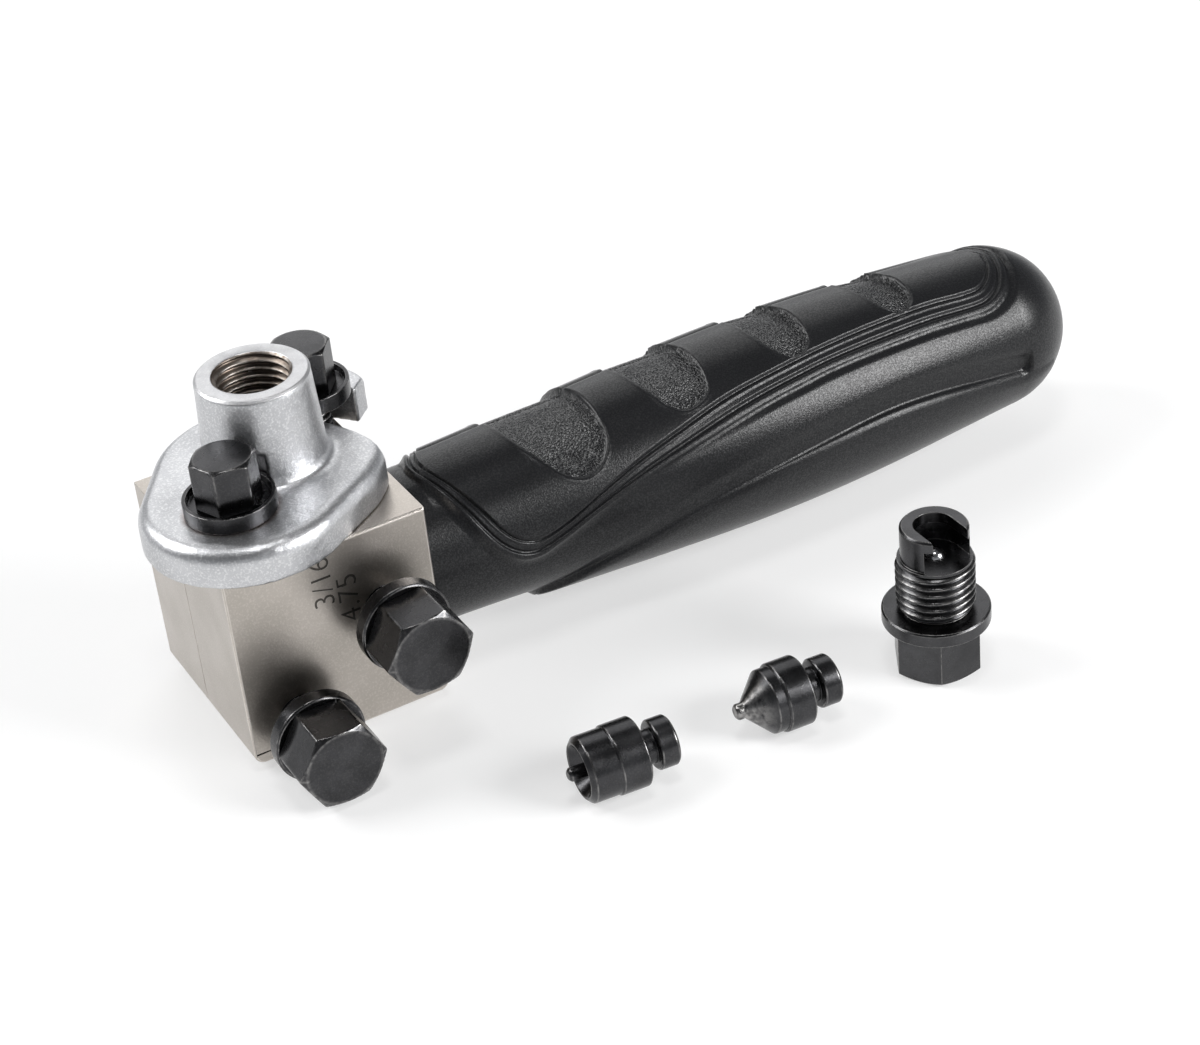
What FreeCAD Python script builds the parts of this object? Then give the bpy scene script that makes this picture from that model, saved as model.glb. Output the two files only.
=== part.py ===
"""Double flaring tool for 3/16 inch brake tube: split die block with a side handle,
a swinging cap with a threaded boss, a forcing screw and two punches.

Millimetres, +Z up. The origin is on the tube's axis at the bottom of the die block.
+X runs along the handle, and the die halves part along Y.
"""
import FreeCAD
import Part

import math
import os

V = FreeCAD.Vector
X_AXIS = V(1, 0, 0)
Y_AXIS = V(0, 1, 0)
Z_AXIS = V(0, 0, 1)

# Tube and its bore
tube_diameter = 4.75
bore_gap = 0.2
flare_seat_diameter = 7.2

# Die block
block_width = 38.0
block_height = 38.6
front_depth = 21.2
rear_depth = 18.3
bottom_round = 2.0
edge_break = 0.35

# Fits
thread_clearance = 0.05
slide_clearance = 0.06
hole_clearance = 0.3
seat_gap = 0.05
running_gap = 0.1
cut_past = 1.0
side_cut_past = 5.0

# Edges of the turned pieces
turned_edge = 0.3
nose_edge = 0.4
cap_collar_edge = 0.2

# Bolts
bolt_diameter = 8.0
bolt_point = 0.8
bolt_hole_past = 0.5
hex_corner_angle = 32.0
hex_face_edge = 0.25

# Clamp bolts, through the front half into the rear half
clamp_offset = 9.35
clamp_low = 6.7
clamp_high = 22.1
clamp_standoff = 5.2
clamp_length = 38.0
clamp_hex = 14.3
clamp_head_height = 9.4
clamp_collar_diameter = 16.8
clamp_collar_height = 3.0
clamp_left_turn = -1.5
clamp_right_turn = 4.0

# Cap bolts, one to turn on and one to lock
pivot_offset = 11.7
lock_radius = 34.94
lock_angle = 43.8
lock_lift = 1.1
cap_bolt_depth = 9.3
cap_hex = 10.2
cap_head_height = 8.8
cap_collar_diameter = 16.0
cap_collar_height = 3.0
cap_collar_rim = 0.7
cap_collar_recess = 1.3
cap_hex_turn = -8.0
cap_bolt_travel = 2.5

# Cap
cap_thickness = 7.0
cap_radius = 20.4
cap_rim_round = 2.8
pivot_lobe_offset = 8.5
pivot_lobe_radius = 18.0
hook_lobe_radius = 11.0
hook_lobe_forward = -0.9
hook_lobe_out = 2.2
hook_rim_round = 1.4
hook_reach = 7.0
slot_clearance = 1.6
slot_set_back = 1.5
slot_sweep = 70.0
boss_height = 16.9
boss_top_radius = 10.0
boss_base_radius = 10.8
boss_base_round = 1.5
boss_round_waist = 0.3
boss_edge = 0.5

# Guide pins
pin_diameter = 5.0
pin_engagement = 9.0
pin_lead = 0.5
pin_left_x = -13.2
pin_left_z = 17.0
pin_right_x = 13.2
pin_right_z = 9.5

# Handle
handle_height = 19.3
handle_offset = -3.45
shank_offset = -4.65
shank_diameter = 9.0
shank_length = 118.0
shank_stud_diameter = 7.2
shank_stud_length = 4.6
shank_flange_diameter = 21.0
shank_flange_thickness = 2.5

# Grip, a turned form with a raised pad, scoops and a long side groove
grip_length = 145.3
grip_mouth_radius = 15.9
grip_shoulder_radius = 16.8
grip_waist_radius = 18.3
grip_palm_radius = 19.05
grip_back_radius = 18.1
grip_tail_radius = 16.3
grip_neck_depth = 1.3
grip_band_depth = 0.15
bead_top_depth = 0.33
inner_channel_depth = 0.8
outer_channel_depth = 0.9
scoop_front_depth = 0.35
scoop_rear_depth = 1.3
side_groove_start_depth = 0.3
side_groove_depth = 1.4
groove_lip = 1.5

# Forcing screw, stood on its head beside the tool
screw_x = 94.1
screw_y = -64.1
screw_diameter = 14.0
screw_root_diameter = 12.3
screw_hex = 14.3
screw_head_height = 9.5
screw_collar_diameter = 19.2
screw_collar_height = 2.8
screw_thread_length = 10.5
screw_nose_diameter = 12.1
screw_lip = 2.1
thread_end_length = 0.6
thread_end_drop = 0.4

# Punches, laid on their collars beside the tool
punch_collar_diameter = 12.5
punch_neck_diameter = 6.2
punch_neck_length = 2.5
punch_button_diameter = 9.0
punch_button_length = 3.65
punch_clearance = 0.27
pilot_diameter = 2.9
cup_pilot_set_back = 0.35
cup_pilot_edge = 0.3
cup_x = 23.4
cup_y = -60.7
cup_turn = -4.9
cup_diameter = 11.9
cup_length = 5.5
cup_hollow_diameter = 9.4
cup_hollow_depth = 2.6
cup_collar_length = 5.5
cone_x = 53.0
cone_y = -62.7
cone_turn = -4.1
cone_diameter = 11.6
cone_angle = 45.0
cone_pilot_length = 1.5
cone_band_length = 1.8
cone_collar_length = 5.2

# Ball detent in the forcing screw
ball_diameter = 3.5
ball_proud = 1.15
dimple_depth = 0.7
detent_depth = 8.0
spring_wire = 0.4
spring_turns = 5.5

# Places that follow from the sizes above
bore_radius = tube_diameter / 2
split_face = bore_gap / 2
bolt_radius = bolt_diameter / 2
cap_bottom = block_height + running_gap
cap_top = cap_bottom + cap_thickness
pivot_place = V(-pivot_offset, -pivot_offset, 0)
lock_direction = V(math.cos(math.radians(lock_angle)), math.sin(math.radians(lock_angle)), 0)
lock_place = pivot_place + lock_direction * lock_radius
grip_start = block_width / 2
grip_end = grip_start + grip_length
table_height = clamp_low - clamp_collar_diameter / 2
screw_floor = table_height + screw_head_height + screw_collar_height + screw_thread_length
screw_top = screw_floor + punch_button_length + punch_clearance * 2 + screw_lip


def box(low, high):
    """Solid block between two corners."""
    size = high - low
    return Part.makeBox(size.x, size.y, size.z, low)


def rod(radius, length, base, axis):
    """Cylinder from base along axis."""
    return Part.makeCylinder(radius, length, base, axis)


def turned(profile, base, axis):
    """Turn a closed half profile of (along, radius) points about an axis through base."""
    side = V(0, 1, 0) if abs(axis.y) < 0.5 else V(1, 0, 0)
    points = [base + axis * along + side * radius for along, radius in profile]
    wire = Part.makePolygon(points + points[:1])
    return Part.Face(wire).revolve(base, axis, 360)


def hexagon(flats, height, base, axis, turn, edge):
    """Hex prism along axis with its outer end chamfered by a cone."""
    corner = flats / 2 / math.cos(math.radians(30))
    points = [V(corner * math.cos(math.radians(60 * i + turn)),
                corner * math.sin(math.radians(60 * i + turn)), 0) for i in range(7)]
    prism = Part.Face(Part.makePolygon(points)).extrude(V(0, 0, height))
    slope = math.tan(math.radians(hex_corner_angle))
    fall = (corner - flats / 2 + edge) * slope
    cover = turned([(0, 0), (0, corner + edge), (height - fall, corner + edge),
                    (height, flats / 2 - edge), (height, 0)], V(0, 0, 0), Z_AXIS)
    solid = prism.common(cover)
    solid.Placement = FreeCAD.Placement(base, FreeCAD.Rotation(Z_AXIS, axis))
    return solid


def bolt(flats, head_height, head_base, length, axis, turn):
    """Hex bolt: the head stands on head_base and the shank runs back against axis."""
    head = hexagon(flats, head_height, head_base, axis, turn, hex_face_edge)
    shank = turned([(0, 0), (0, bolt_radius), (length - bolt_point, bolt_radius),
                    (length, bolt_radius - bolt_point), (length, 0)], head_base, axis * -1)
    return head.fuse(shank).removeSplitter()


def make_die_half(depth, side):
    """One half of the block. side is -1 for the front half and +1 for the rear half."""
    near = split_face * side
    far = depth * side
    low = V(-block_width / 2, min(near, far), 0)
    high = V(block_width / 2, max(near, far), block_height)
    half = box(low, high)
    bottom_edges = [e for e in half.Edges
                    if e.BoundBox.ZMax < 0.01 and e.BoundBox.YLength > 1]
    half = half.makeFillet(bottom_round, bottom_edges)
    outer = [e for e in half.Edges
             if abs(e.BoundBox.YMin - far) < 0.01 and abs(e.BoundBox.YMax - far) < 0.01]
    half = half.makeChamfer(edge_break, outer)
    seat_depth = (flare_seat_diameter - tube_diameter) / 2
    seat_radius = flare_seat_diameter / 2
    above = block_height + cut_past
    tube_way = turned([(-cut_past, 0), (-cut_past, bore_radius),
                       (block_height - seat_depth, bore_radius), (block_height, seat_radius),
                       (above, seat_radius), (above, 0)], V(0, 0, 0), Z_AXIS)
    return half.cut(tube_way)


def clamp_places():
    """Axes of the two clamp bolts on the split face, lower left and upper right."""
    return [V(-clamp_offset, 0, clamp_low), V(clamp_offset, 0, clamp_high)]


def pin_places():
    """Axes of the guide pins on the split face."""
    return [V(pin_left_x, 0, pin_left_z), V(pin_right_x, 0, pin_right_z)]


def make_die_front():
    """Front half: clearance holes for the clamp bolts, tapped holes for pivot and shank."""
    half = make_die_half(front_depth, -1)
    for place in clamp_places():
        radius = bolt_radius + hole_clearance
        half = half.cut(rod(radius, front_depth + cut_past * 2, place + Y_AXIS * cut_past,
                            Y_AXIS * -1))
    for place in pin_places():
        half = half.cut(rod(pin_diameter / 2, pin_engagement, place - Y_AXIS * split_face,
                            Y_AXIS * -1))
    tapped = rod(bolt_radius + thread_clearance, cap_bolt_depth + bolt_hole_past,
                 pivot_place + Z_AXIS * block_height, Z_AXIS * -1)
    stud = rod(shank_stud_diameter / 2, shank_stud_length,
               V(grip_start, shank_offset, handle_height), X_AXIS * -1)
    return half.cut(tapped).cut(stud)


def make_die_rear():
    """Rear half: tapped holes for the clamp bolts and the lock bolt, reamed pin holes."""
    half = make_die_half(rear_depth, 1)
    tapped_radius = bolt_radius + thread_clearance
    for place in clamp_places():
        half = half.cut(rod(tapped_radius, rear_depth + cut_past * 2, place - Y_AXIS * cut_past,
                            Y_AXIS))
    for place in pin_places():
        radius = pin_diameter / 2 + slide_clearance
        half = half.cut(rod(radius, pin_engagement + cut_past, place + Y_AXIS * split_face,
                            Y_AXIS))
    tapped = rod(tapped_radius, cap_bolt_depth + bolt_hole_past,
                 lock_place + Z_AXIS * block_height, Z_AXIS * -1)
    return half.cut(tapped)


def make_guide_pins():
    """Two dowels pressed into the front half and running in the rear half."""
    length = pin_engagement * 2
    radius = pin_diameter / 2
    pins = []
    for place in pin_places():
        base = place - Y_AXIS * (split_face + pin_engagement)
        pins.append(turned([(0, 0), (0, radius - pin_lead), (pin_lead, radius),
                            (length - pin_lead, radius), (length, radius - pin_lead),
                            (length, 0)], base, Y_AXIS))
    return Part.makeCompound(pins)


def cap_outline():
    """Outline of the plate: the round over the die and the pivot lobe, joined by tangents."""
    centre = V(0, 0, cap_bottom)
    lobe = V(-pivot_lobe_offset, -pivot_lobe_offset, cap_bottom)
    span = lobe - centre
    bearing = math.atan2(span.y, span.x)
    lean = math.acos((cap_radius - pivot_lobe_radius) / span.Length)

    def on_circle(middle, radius, angle):
        return middle + V(radius * math.cos(angle), radius * math.sin(angle), 0)

    first = on_circle(centre, cap_radius, bearing + lean)
    last = on_circle(centre, cap_radius, bearing - lean)
    lobe_first = on_circle(lobe, pivot_lobe_radius, bearing + lean)
    lobe_last = on_circle(lobe, pivot_lobe_radius, bearing - lean)
    body = Part.Arc(first, on_circle(centre, cap_radius, bearing + math.pi), last)
    nose = Part.Arc(lobe_last, on_circle(lobe, pivot_lobe_radius, bearing), lobe_first)
    return Part.Wire([body.toShape(), Part.LineSegment(last, lobe_last).toShape(),
                      nose.toShape(), Part.LineSegment(lobe_first, first).toShape()])


def arc_slot(half_width, low, height):
    """Slot about the pivot with a round end past the lock bolt, open towards the hook."""
    base = pivot_place + Z_AXIS * low
    closed_angle = lock_angle + math.degrees(slot_set_back / lock_radius)
    outer = Part.makeCylinder(lock_radius + half_width, height, base, Z_AXIS, slot_sweep)
    inner = Part.makeCylinder(lock_radius - half_width, height, base, Z_AXIS, 360)
    slot = outer.cut(inner)
    slot.rotate(pivot_place, Z_AXIS, closed_angle - slot_sweep)
    closed = V(math.cos(math.radians(closed_angle)), math.sin(math.radians(closed_angle)), 0)
    return slot.fuse(rod(half_width, height, base + closed * lock_radius, Z_AXIS))


def make_cap():
    """Cast cap: rounded plate, open hook for the lock bolt and the threaded boss."""
    plate = Part.Face(cap_outline()).extrude(Z_AXIS * cap_thickness)
    rim = [e for e in plate.Edges if e.BoundBox.ZMin > cap_top - 0.01]
    plate = plate.makeFillet(cap_rim_round, rim)

    forward = V(lock_direction.y, -lock_direction.x, 0)
    hook_centre = lock_place + forward * hook_lobe_forward + lock_direction * hook_lobe_out
    hook = rod(hook_lobe_radius, cap_thickness, hook_centre + Z_AXIS * cap_bottom, Z_AXIS)
    hook_rim = [e for e in hook.Edges
                if e.BoundBox.ZMin > cap_top - 0.01 and e.BoundBox.XLength > 1]
    hook = hook.makeFillet(hook_rim_round, hook_rim)
    end_cut = Part.makeBox(cap_radius, hook_lobe_radius * 2, cap_thickness + cut_past * 2)
    turn = math.degrees(math.atan2(forward.y, forward.x))
    end_cut.Placement = FreeCAD.Placement(
        lock_place + forward * hook_reach + Z_AXIS * (cap_bottom - cut_past),
        FreeCAD.Rotation(Z_AXIS, turn))
    hook = hook.cut(end_cut)

    boss = turned([(0, 0), (0, boss_base_radius + boss_base_round),
                   (cap_thickness, boss_base_radius + boss_base_round),
                   (cap_thickness + boss_base_round * boss_round_waist,
                    boss_base_radius + boss_base_round * boss_round_waist),
                   (cap_thickness + boss_base_round, boss_base_radius),
                   (cap_thickness + boss_height - boss_edge, boss_top_radius),
                   (cap_thickness + boss_height, boss_top_radius - boss_edge),
                   (cap_thickness + boss_height, 0)],
                  Z_AXIS * cap_bottom, Z_AXIS)
    cap = plate.fuse(hook).fuse(boss)

    below = cap_bottom - cut_past
    through = cap_thickness + cut_past * 2
    bore = rod(screw_diameter / 2 + thread_clearance, through + boss_height, Z_AXIS * below, Z_AXIS)
    pivot_hole = rod(bolt_radius + running_gap, through, pivot_place + Z_AXIS * below, Z_AXIS)
    cap = cap.cut(bore).cut(pivot_hole)
    cap = cap.cut(arc_slot(bolt_radius + slot_clearance, below, through))

    seat_radius = cap_collar_diameter / 2 + hole_clearance
    seat_height = cap_collar_height + cap_bolt_travel + cut_past
    cap = cap.cut(rod(seat_radius, seat_height, pivot_place + Z_AXIS * cap_top, Z_AXIS))
    cap = cap.cut(arc_slot(seat_radius, cap_top, seat_height))
    return cap.removeSplitter()


def make_cap_washer(place, lift):
    """Cupped collar under a cap bolt's head."""
    radius = cap_collar_diameter / 2
    floor = cap_collar_height - cap_collar_recess
    hole = bolt_radius + hole_clearance
    return turned([(0, hole), (0, radius - cap_collar_edge), (cap_collar_edge, radius),
                   (cap_collar_height, radius), (cap_collar_height, radius - cap_collar_rim),
                   (floor, radius - cap_collar_rim), (floor, hole)],
                  place + Z_AXIS * (cap_top + seat_gap + lift), Z_AXIS)


def make_cap_bolt(place, lift):
    """Hex bolt of the cap, its head seated in the collar's recess."""
    floor = cap_collar_height - cap_collar_recess
    head_base = place + Z_AXIS * (cap_top + seat_gap * 2 + floor + lift)
    length = floor + seat_gap * 2 + cap_thickness + running_gap + cap_bolt_depth
    return bolt(cap_hex, cap_head_height, head_base, length, Z_AXIS, cap_hex_turn)


def make_clamp_washer(place):
    """Thick collar under a clamp bolt's head."""
    radius = clamp_collar_diameter / 2
    hole = bolt_radius + hole_clearance
    base = place - Y_AXIS * (front_depth + clamp_standoff)
    return turned([(0, hole), (0, radius - turned_edge), (turned_edge, radius),
                   (clamp_collar_height - turned_edge, radius),
                   (clamp_collar_height, radius - turned_edge), (clamp_collar_height, hole)],
                  base, Y_AXIS * -1)


def make_clamp_bolt(place, turn):
    """Hex bolt that draws the rear half against the front half."""
    head_base = place - Y_AXIS * (front_depth + clamp_standoff + clamp_collar_height + seat_gap)
    length = clamp_length + clamp_collar_height + seat_gap
    return bolt(clamp_hex, clamp_head_height, head_base, length, Y_AXIS * -1, turn)


def make_handle_shank():
    """Steel rod inside the grip: stud, flange against the block and plain core."""
    stud = shank_stud_diameter / 2
    core = shank_diameter / 2
    flange = shank_flange_diameter / 2
    return turned([(-shank_stud_length, 0), (-shank_stud_length, stud), (0, stud), (0, flange),
                   (shank_flange_thickness, flange), (shank_flange_thickness, core),
                   (shank_length, core), (shank_length, 0)],
                  V(grip_start, shank_offset, handle_height), X_AXIS)


def grip_outside():
    """Side curve of the grip's outside, from the block to the start of the domed tail."""
    shares = [0, 0.163, 0.346, 0.53, 0.72, 0.89]
    radii = [grip_mouth_radius, grip_shoulder_radius, grip_waist_radius, grip_palm_radius,
             grip_back_radius, grip_tail_radius]
    points = [V(share * grip_length, radius, 0) for share, radius in zip(shares, radii)]
    points[-1] = V(tail_start, grip_tail_radius, 0)
    curve = Part.BSplineCurve()
    curve.interpolate(Points=points, InitialTangent=V(1, 0.02, 0), FinalTangent=V(1, -0.05, 0))
    return curve


def grip_radius(along):
    """Radius of the outside at a distance from the block."""
    if along > tail_start:
        return math.sqrt(max(grip_tail_radius ** 2 - (along - tail_start) ** 2, 1))
    low, high = outside.FirstParameter, outside.LastParameter
    halvings = 40
    for _ in range(halvings):
        middle = (low + high) / 2
        if outside.value(middle).x < along:
            low = middle
        else:
            high = middle
    return outside.value(low).y


tail_start = grip_length - grip_tail_radius
outside = grip_outside()
grip_base = V(grip_start, handle_offset, handle_height)


def grip_point(x, angle):
    """Point of the grip's side view at x, at an angle from the top round the outside."""
    along = x - grip_start
    return grip_base + V(along, 0, grip_radius(along) * math.cos(math.radians(angle)))


def level_at(levels, x):
    """Depth at x on straight lines between the (x, depth) levels."""
    for (x1, depth1), (x2, depth2) in zip(levels, levels[1:]):
        if x <= x2:
            return depth1 + (depth2 - depth1) * (x - x1) / (x2 - x1)
    return levels[-1][1]


def grip_core(marks):
    """Turned solid that lies below the outside by the depths of (percent of length, depth) marks."""
    levels = [(grip_x(percent), depth) for percent, depth in marks]
    start, end = levels[0][0], levels[-1][0]
    count = 12
    sunk = []
    for i in range(count):
        x = start + (end - start) * i / (count - 1)
        sunk.append(V(x - grip_start, grip_radius(x - grip_start) - level_at(levels, x), 0))
    curve = Part.BSplineCurve()
    curve.interpolate(sunk)
    first, last = sunk[0], sunk[-1]
    wire = Part.Wire([Part.LineSegment(V(first.x, 0, 0), first).toShape(), curve.toShape(),
                      Part.LineSegment(last, V(last.x, 0, 0)).toShape(),
                      Part.LineSegment(V(last.x, 0, 0), V(first.x, 0, 0)).toShape()])
    solid = Part.Face(wire).revolve(V(0, 0, 0), X_AXIS, 360)
    solid.translate(grip_base)
    return solid


def side_prism(edges):
    """Prism across the whole grip over a region of its side view."""
    face = Part.Face(Part.Wire(edges))
    reach = grip_palm_radius + side_cut_past
    face.translate(V(0, -reach, 0))
    return face.extrude(V(0, reach * 2, 0))


def smooth_edge(points):
    """Smooth curve through points."""
    curve = Part.BSplineCurve()
    curve.interpolate(points)
    return curve.toShape()


def open_top_prism(points):
    """Prism of a region that is open at the top and bounded below by a smooth curve."""
    above = handle_height + grip_palm_radius + side_cut_past
    first, last = points[0], points[-1]
    first_up = V(first.x, first.y, above)
    last_up = V(last.x, last.y, above)
    return side_prism([Part.LineSegment(first_up, first).toShape(), smooth_edge(points),
                       Part.LineSegment(last, last_up).toShape(),
                       Part.LineSegment(last_up, first_up).toShape()])


def grip_x(percent):
    """Place along X at a percentage of the grip's length."""
    return grip_start + grip_length * percent / 100


def side_points(marks):
    """Points of the side view at (percent of length, angle) marks."""
    return [grip_point(grip_x(percent), angle) for percent, angle in marks]


def evenly(points, count):
    """Points evenly spaced along the smooth curve through the given points."""
    return smooth_edge(points).discretize(Number=count)


# Lines of the moulding in the side view: percent of the grip's length, and degrees from the top
pad_marks = [(5.37, 0), (6.95, 26), (9.02, 49), (10.53, 64), (12.25, 74), (14.8, 79), (18.58, 75),
             (23.95, 65), (30.28, 54), (36.82, 46), (43.29, 39), (49.76, 35), (62.77, 29.5),
             (75.71, 27), (81.9, 28.5), (85.07, 27), (87.54, 17), (89.06, 0)]
border_marks = [(3.79, 0), (6.47, 47), (7.91, 65), (9.77, 80), (12.11, 90), (14.73, 92.5),
                (17.48, 88), (23.26, 77), (29.18, 69), (38.4, 60), (47.9, 52), (54.37, 48.5),
                (60.7, 46), (73.43, 45), (80.52, 46), (85, 46), (88.23, 38), (90.16, 24),
                (91.47, 0)]
groove_marks = [(27.39, 98), (37.1, 83), (52.37, 71.5), (68.27, 66.5), (81.21, 71), (89.13, 79)]
belly_marks = [(15.83, 175), (16.93, 145), (23.19, 122), (29.8, 110), (36.82, 99), (45.7, 92),
               (59.46, 86), (67.45, 85), (75.57, 89), (84.1, 97), (89.13, 103)]
# Each scoop's front, rear and how far it comes down the side, and the outline they share
scoops = [(15.8, 27.7, 53.5), (34.4, 43.2, 39), (51.8, 58.6, 32.5), (68.5, 75.4, 28)]
scoop_outline = [(0, 0), (0.05, 0.22), (0.13, 0.5), (0.22, 0.68), (0.33, 0.87), (0.45, 0.97),
                 (0.58, 1.0), (0.78, 0.93), (0.93, 0.76), (0.985, 0.55), (1.0, 0.3), (1.0, 0)]
# Rings of the pad's border, by shares of its width, and how deep each lies
border_rings = [(0, 1.05, bead_top_depth), (0.06, 0.36, inner_channel_depth),
                (0.60, 0.86, outer_channel_depth)]
# Depths along the band that the neck runs back in, and along the side groove
band_levels = [(-1.4, grip_neck_depth), (12.4, grip_neck_depth), (42.7, grip_band_depth),
               (85.3, grip_band_depth)]
groove_levels = [(25.5, side_groove_start_depth), (89.5, side_groove_depth)]
# The band ends with these marks, and the side groove starts with this one
band_border_marks = 15
band_belly_marks = 10
groove_belly_start = 3


def make_grip():
    """Moulded grip: neck, raised pad with four scoops, beaded border and side groove."""
    corner = V(0, 0, 0)
    dome = Part.Arc(V(tail_start, grip_tail_radius, 0),
                    V(tail_start + grip_tail_radius * math.sqrt(0.5),
                      grip_tail_radius * math.sqrt(0.5), 0),
                    V(grip_length, 0, 0))
    mouth = V(0, grip_mouth_radius, 0)
    wire = Part.Wire([Part.LineSegment(corner, mouth).toShape(), outside.toShape(),
                      dome.toShape(), Part.LineSegment(V(grip_length, 0, 0), corner).toShape()])
    grip = Part.Face(wire).revolve(corner, X_AXIS, 360)
    grip.translate(grip_base)

    # The neck runs back between the border and the belly as a band that gets shallower
    under_border = side_points(border_marks[:band_border_marks])
    over_belly = side_points(belly_marks[:band_belly_marks])[::-1]
    low = handle_height - grip_palm_radius - side_cut_past
    high = handle_height + grip_palm_radius + side_cut_past
    front = grip_start - cut_past
    heel = over_belly[-1]
    corners = [V(heel.x, heel.y, low), V(front, heel.y, low), V(front, heel.y, high),
               V(under_border[0].x, heel.y, high), under_border[0]]
    edges = [smooth_edge(under_border),
             Part.LineSegment(under_border[-1], over_belly[0]).toShape(),
             smooth_edge(over_belly), Part.LineSegment(heel, corners[0]).toShape()]
    edges += [Part.LineSegment(a, b).toShape() for a, b in zip(corners, corners[1:])]
    grip = grip.cut(side_prism(edges).cut(grip_core(band_levels)))

    # Two channels with a bead between them border the pad
    count = 16
    pad = evenly(side_points(pad_marks), count)
    border = evenly(side_points(border_marks), count)

    def border_line(share):
        return [a + (b - a) * share for a, b in zip(pad, border)]

    border_end = border_marks[-1][0] + 1.5
    for inner, outer, depth in border_rings:
        ring = open_top_prism(border_line(outer)).cut(open_top_prism(border_line(inner)))
        grip = grip.cut(ring.cut(grip_core([(0, depth), (border_end, depth)])))

    # Four scoops across the top, each with a steep rear wall
    for start, end, low_angle in scoops:
        marks = [(start + (end - start) * s, low_angle * a) for s, a in scoop_outline]
        core = grip_core([(start - 1, scoop_front_depth), (end + 1, scoop_rear_depth)])
        grip = grip.cut(open_top_prism(side_points(marks)).cut(core))

    # The long groove in each side deepens towards the rear
    groove_top = side_points(groove_marks)
    along_belly = belly_marks[groove_belly_start:]
    groove_low = side_points([(share, angle - groove_lip) for share, angle in along_belly])[::-1]
    edges = [smooth_edge(groove_top), Part.LineSegment(groove_top[-1], groove_low[0]).toShape(),
             smooth_edge(groove_low), Part.LineSegment(groove_low[-1], groove_top[0]).toShape()]
    grip = grip.cut(side_prism(edges).cut(grip_core(groove_levels)))

    # Room for the shank and its flange
    shank_base = V(grip_start, shank_offset, handle_height)
    bore = rod(shank_diameter / 2 + seat_gap, shank_length + cut_past, shank_base, X_AXIS)
    flange = rod(shank_flange_diameter / 2 + seat_gap, shank_flange_thickness + seat_gap,
                 shank_base, X_AXIS)
    return grip.cut(bore).cut(flange)


def make_forcing_screw():
    """Forcing screw on its head: hex, collar, threaded length and slotted nose."""
    base = V(screw_x, screw_y, 0)
    head_top = table_height + screw_head_height
    head = hexagon(screw_hex, screw_head_height, base + Z_AXIS * head_top, Z_AXIS * -1, 0,
                   hex_face_edge)
    collar_top = head_top + screw_collar_height
    collar = screw_collar_diameter / 2
    root = screw_root_diameter / 2
    nose = screw_nose_diameter / 2
    major = screw_diameter / 2
    thread_end = screw_floor - thread_end_length
    body = turned([(head_top, 0), (head_top, collar - turned_edge),
                   (head_top + turned_edge, collar), (collar_top - turned_edge, collar),
                   (collar_top, collar - turned_edge), (collar_top, root), (thread_end, root),
                   (thread_end, major - thread_end_drop), (screw_floor, major - thread_end_drop),
                   (screw_floor, nose), (screw_top - nose_edge, nose),
                   (screw_top, nose - nose_edge), (screw_top, 0)], base, Z_AXIS)
    screw = head.fuse(body)

    pocket = punch_button_diameter / 2 + punch_clearance
    neck = punch_neck_diameter / 2 + punch_clearance * 2
    pocket_height = punch_button_length + punch_clearance * 2
    far = screw_nose_diameter
    for half, low, height in ((pocket, screw_floor, pocket_height),
                              (neck, screw_floor + pocket_height / 2, pocket_height + screw_lip)):
        screw = screw.cut(rod(half, height, base + Z_AXIS * low, Z_AXIS))
        screw = screw.cut(box(base + V(-half, -far, low), base + V(half, 0, low + height)))
    bore = rod(ball_diameter / 2 + slide_clearance, detent_depth,
               base + Z_AXIS * (screw_floor - detent_depth), Z_AXIS)
    return screw.cut(bore).removeSplitter()


def make_detent_ball():
    """Steel ball that snaps into the button of a punch."""
    centre = screw_floor + ball_proud - ball_diameter / 2
    return Part.makeSphere(ball_diameter / 2, V(screw_x, screw_y, centre))


def make_detent_spring():
    """Small coil spring between the bore's end and the ball."""
    bottom = screw_floor - detent_depth + seat_gap + spring_wire / 2
    top = screw_floor + ball_proud - ball_diameter - seat_gap - spring_wire / 2
    coil_radius = ball_diameter / 2 - spring_wire
    pitch = (top - bottom) / spring_turns
    helix = Part.makeHelix(pitch, top - bottom, coil_radius)
    ring = Part.Wire([Part.makeCircle(spring_wire / 2, V(coil_radius, 0, 0), Y_AXIS)])
    coil = Part.Wire(helix).makePipeShell([ring], True, True)
    coil.translate(V(screw_x, screw_y, bottom))
    return coil


def punch_tail(start, collar_length):
    """Profile points of a punch from its collar to the end of its button."""
    collar = punch_collar_diameter / 2
    neck = punch_neck_diameter / 2
    button = punch_button_diameter / 2
    collar_end = start + collar_length
    neck_end = collar_end + punch_neck_length
    end = neck_end + punch_button_length
    return [(start, collar - turned_edge), (start + turned_edge, collar),
            (collar_end - turned_edge, collar), (collar_end, collar - turned_edge),
            (collar_end, neck), (neck_end, neck), (neck_end, button - turned_edge),
            (neck_end + turned_edge, button), (end - nose_edge, button),
            (end, button - nose_edge), (end, 0)]


def laid_down(profile, x, y, turn):
    """Turn a punch about its own axis and lay it on its collar."""
    punch = turned(profile, V(0, 0, 0), X_AXIS)
    button_end = profile[-1][0]
    dimple = Part.makeSphere(ball_diameter / 2,
                             V(button_end + ball_diameter / 2 - dimple_depth, 0, 0))
    punch = punch.cut(dimple)
    punch.rotate(V(0, 0, 0), Z_AXIS, turn)
    punch.translate(V(x, y, table_height + punch_collar_diameter / 2))
    return punch


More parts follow.
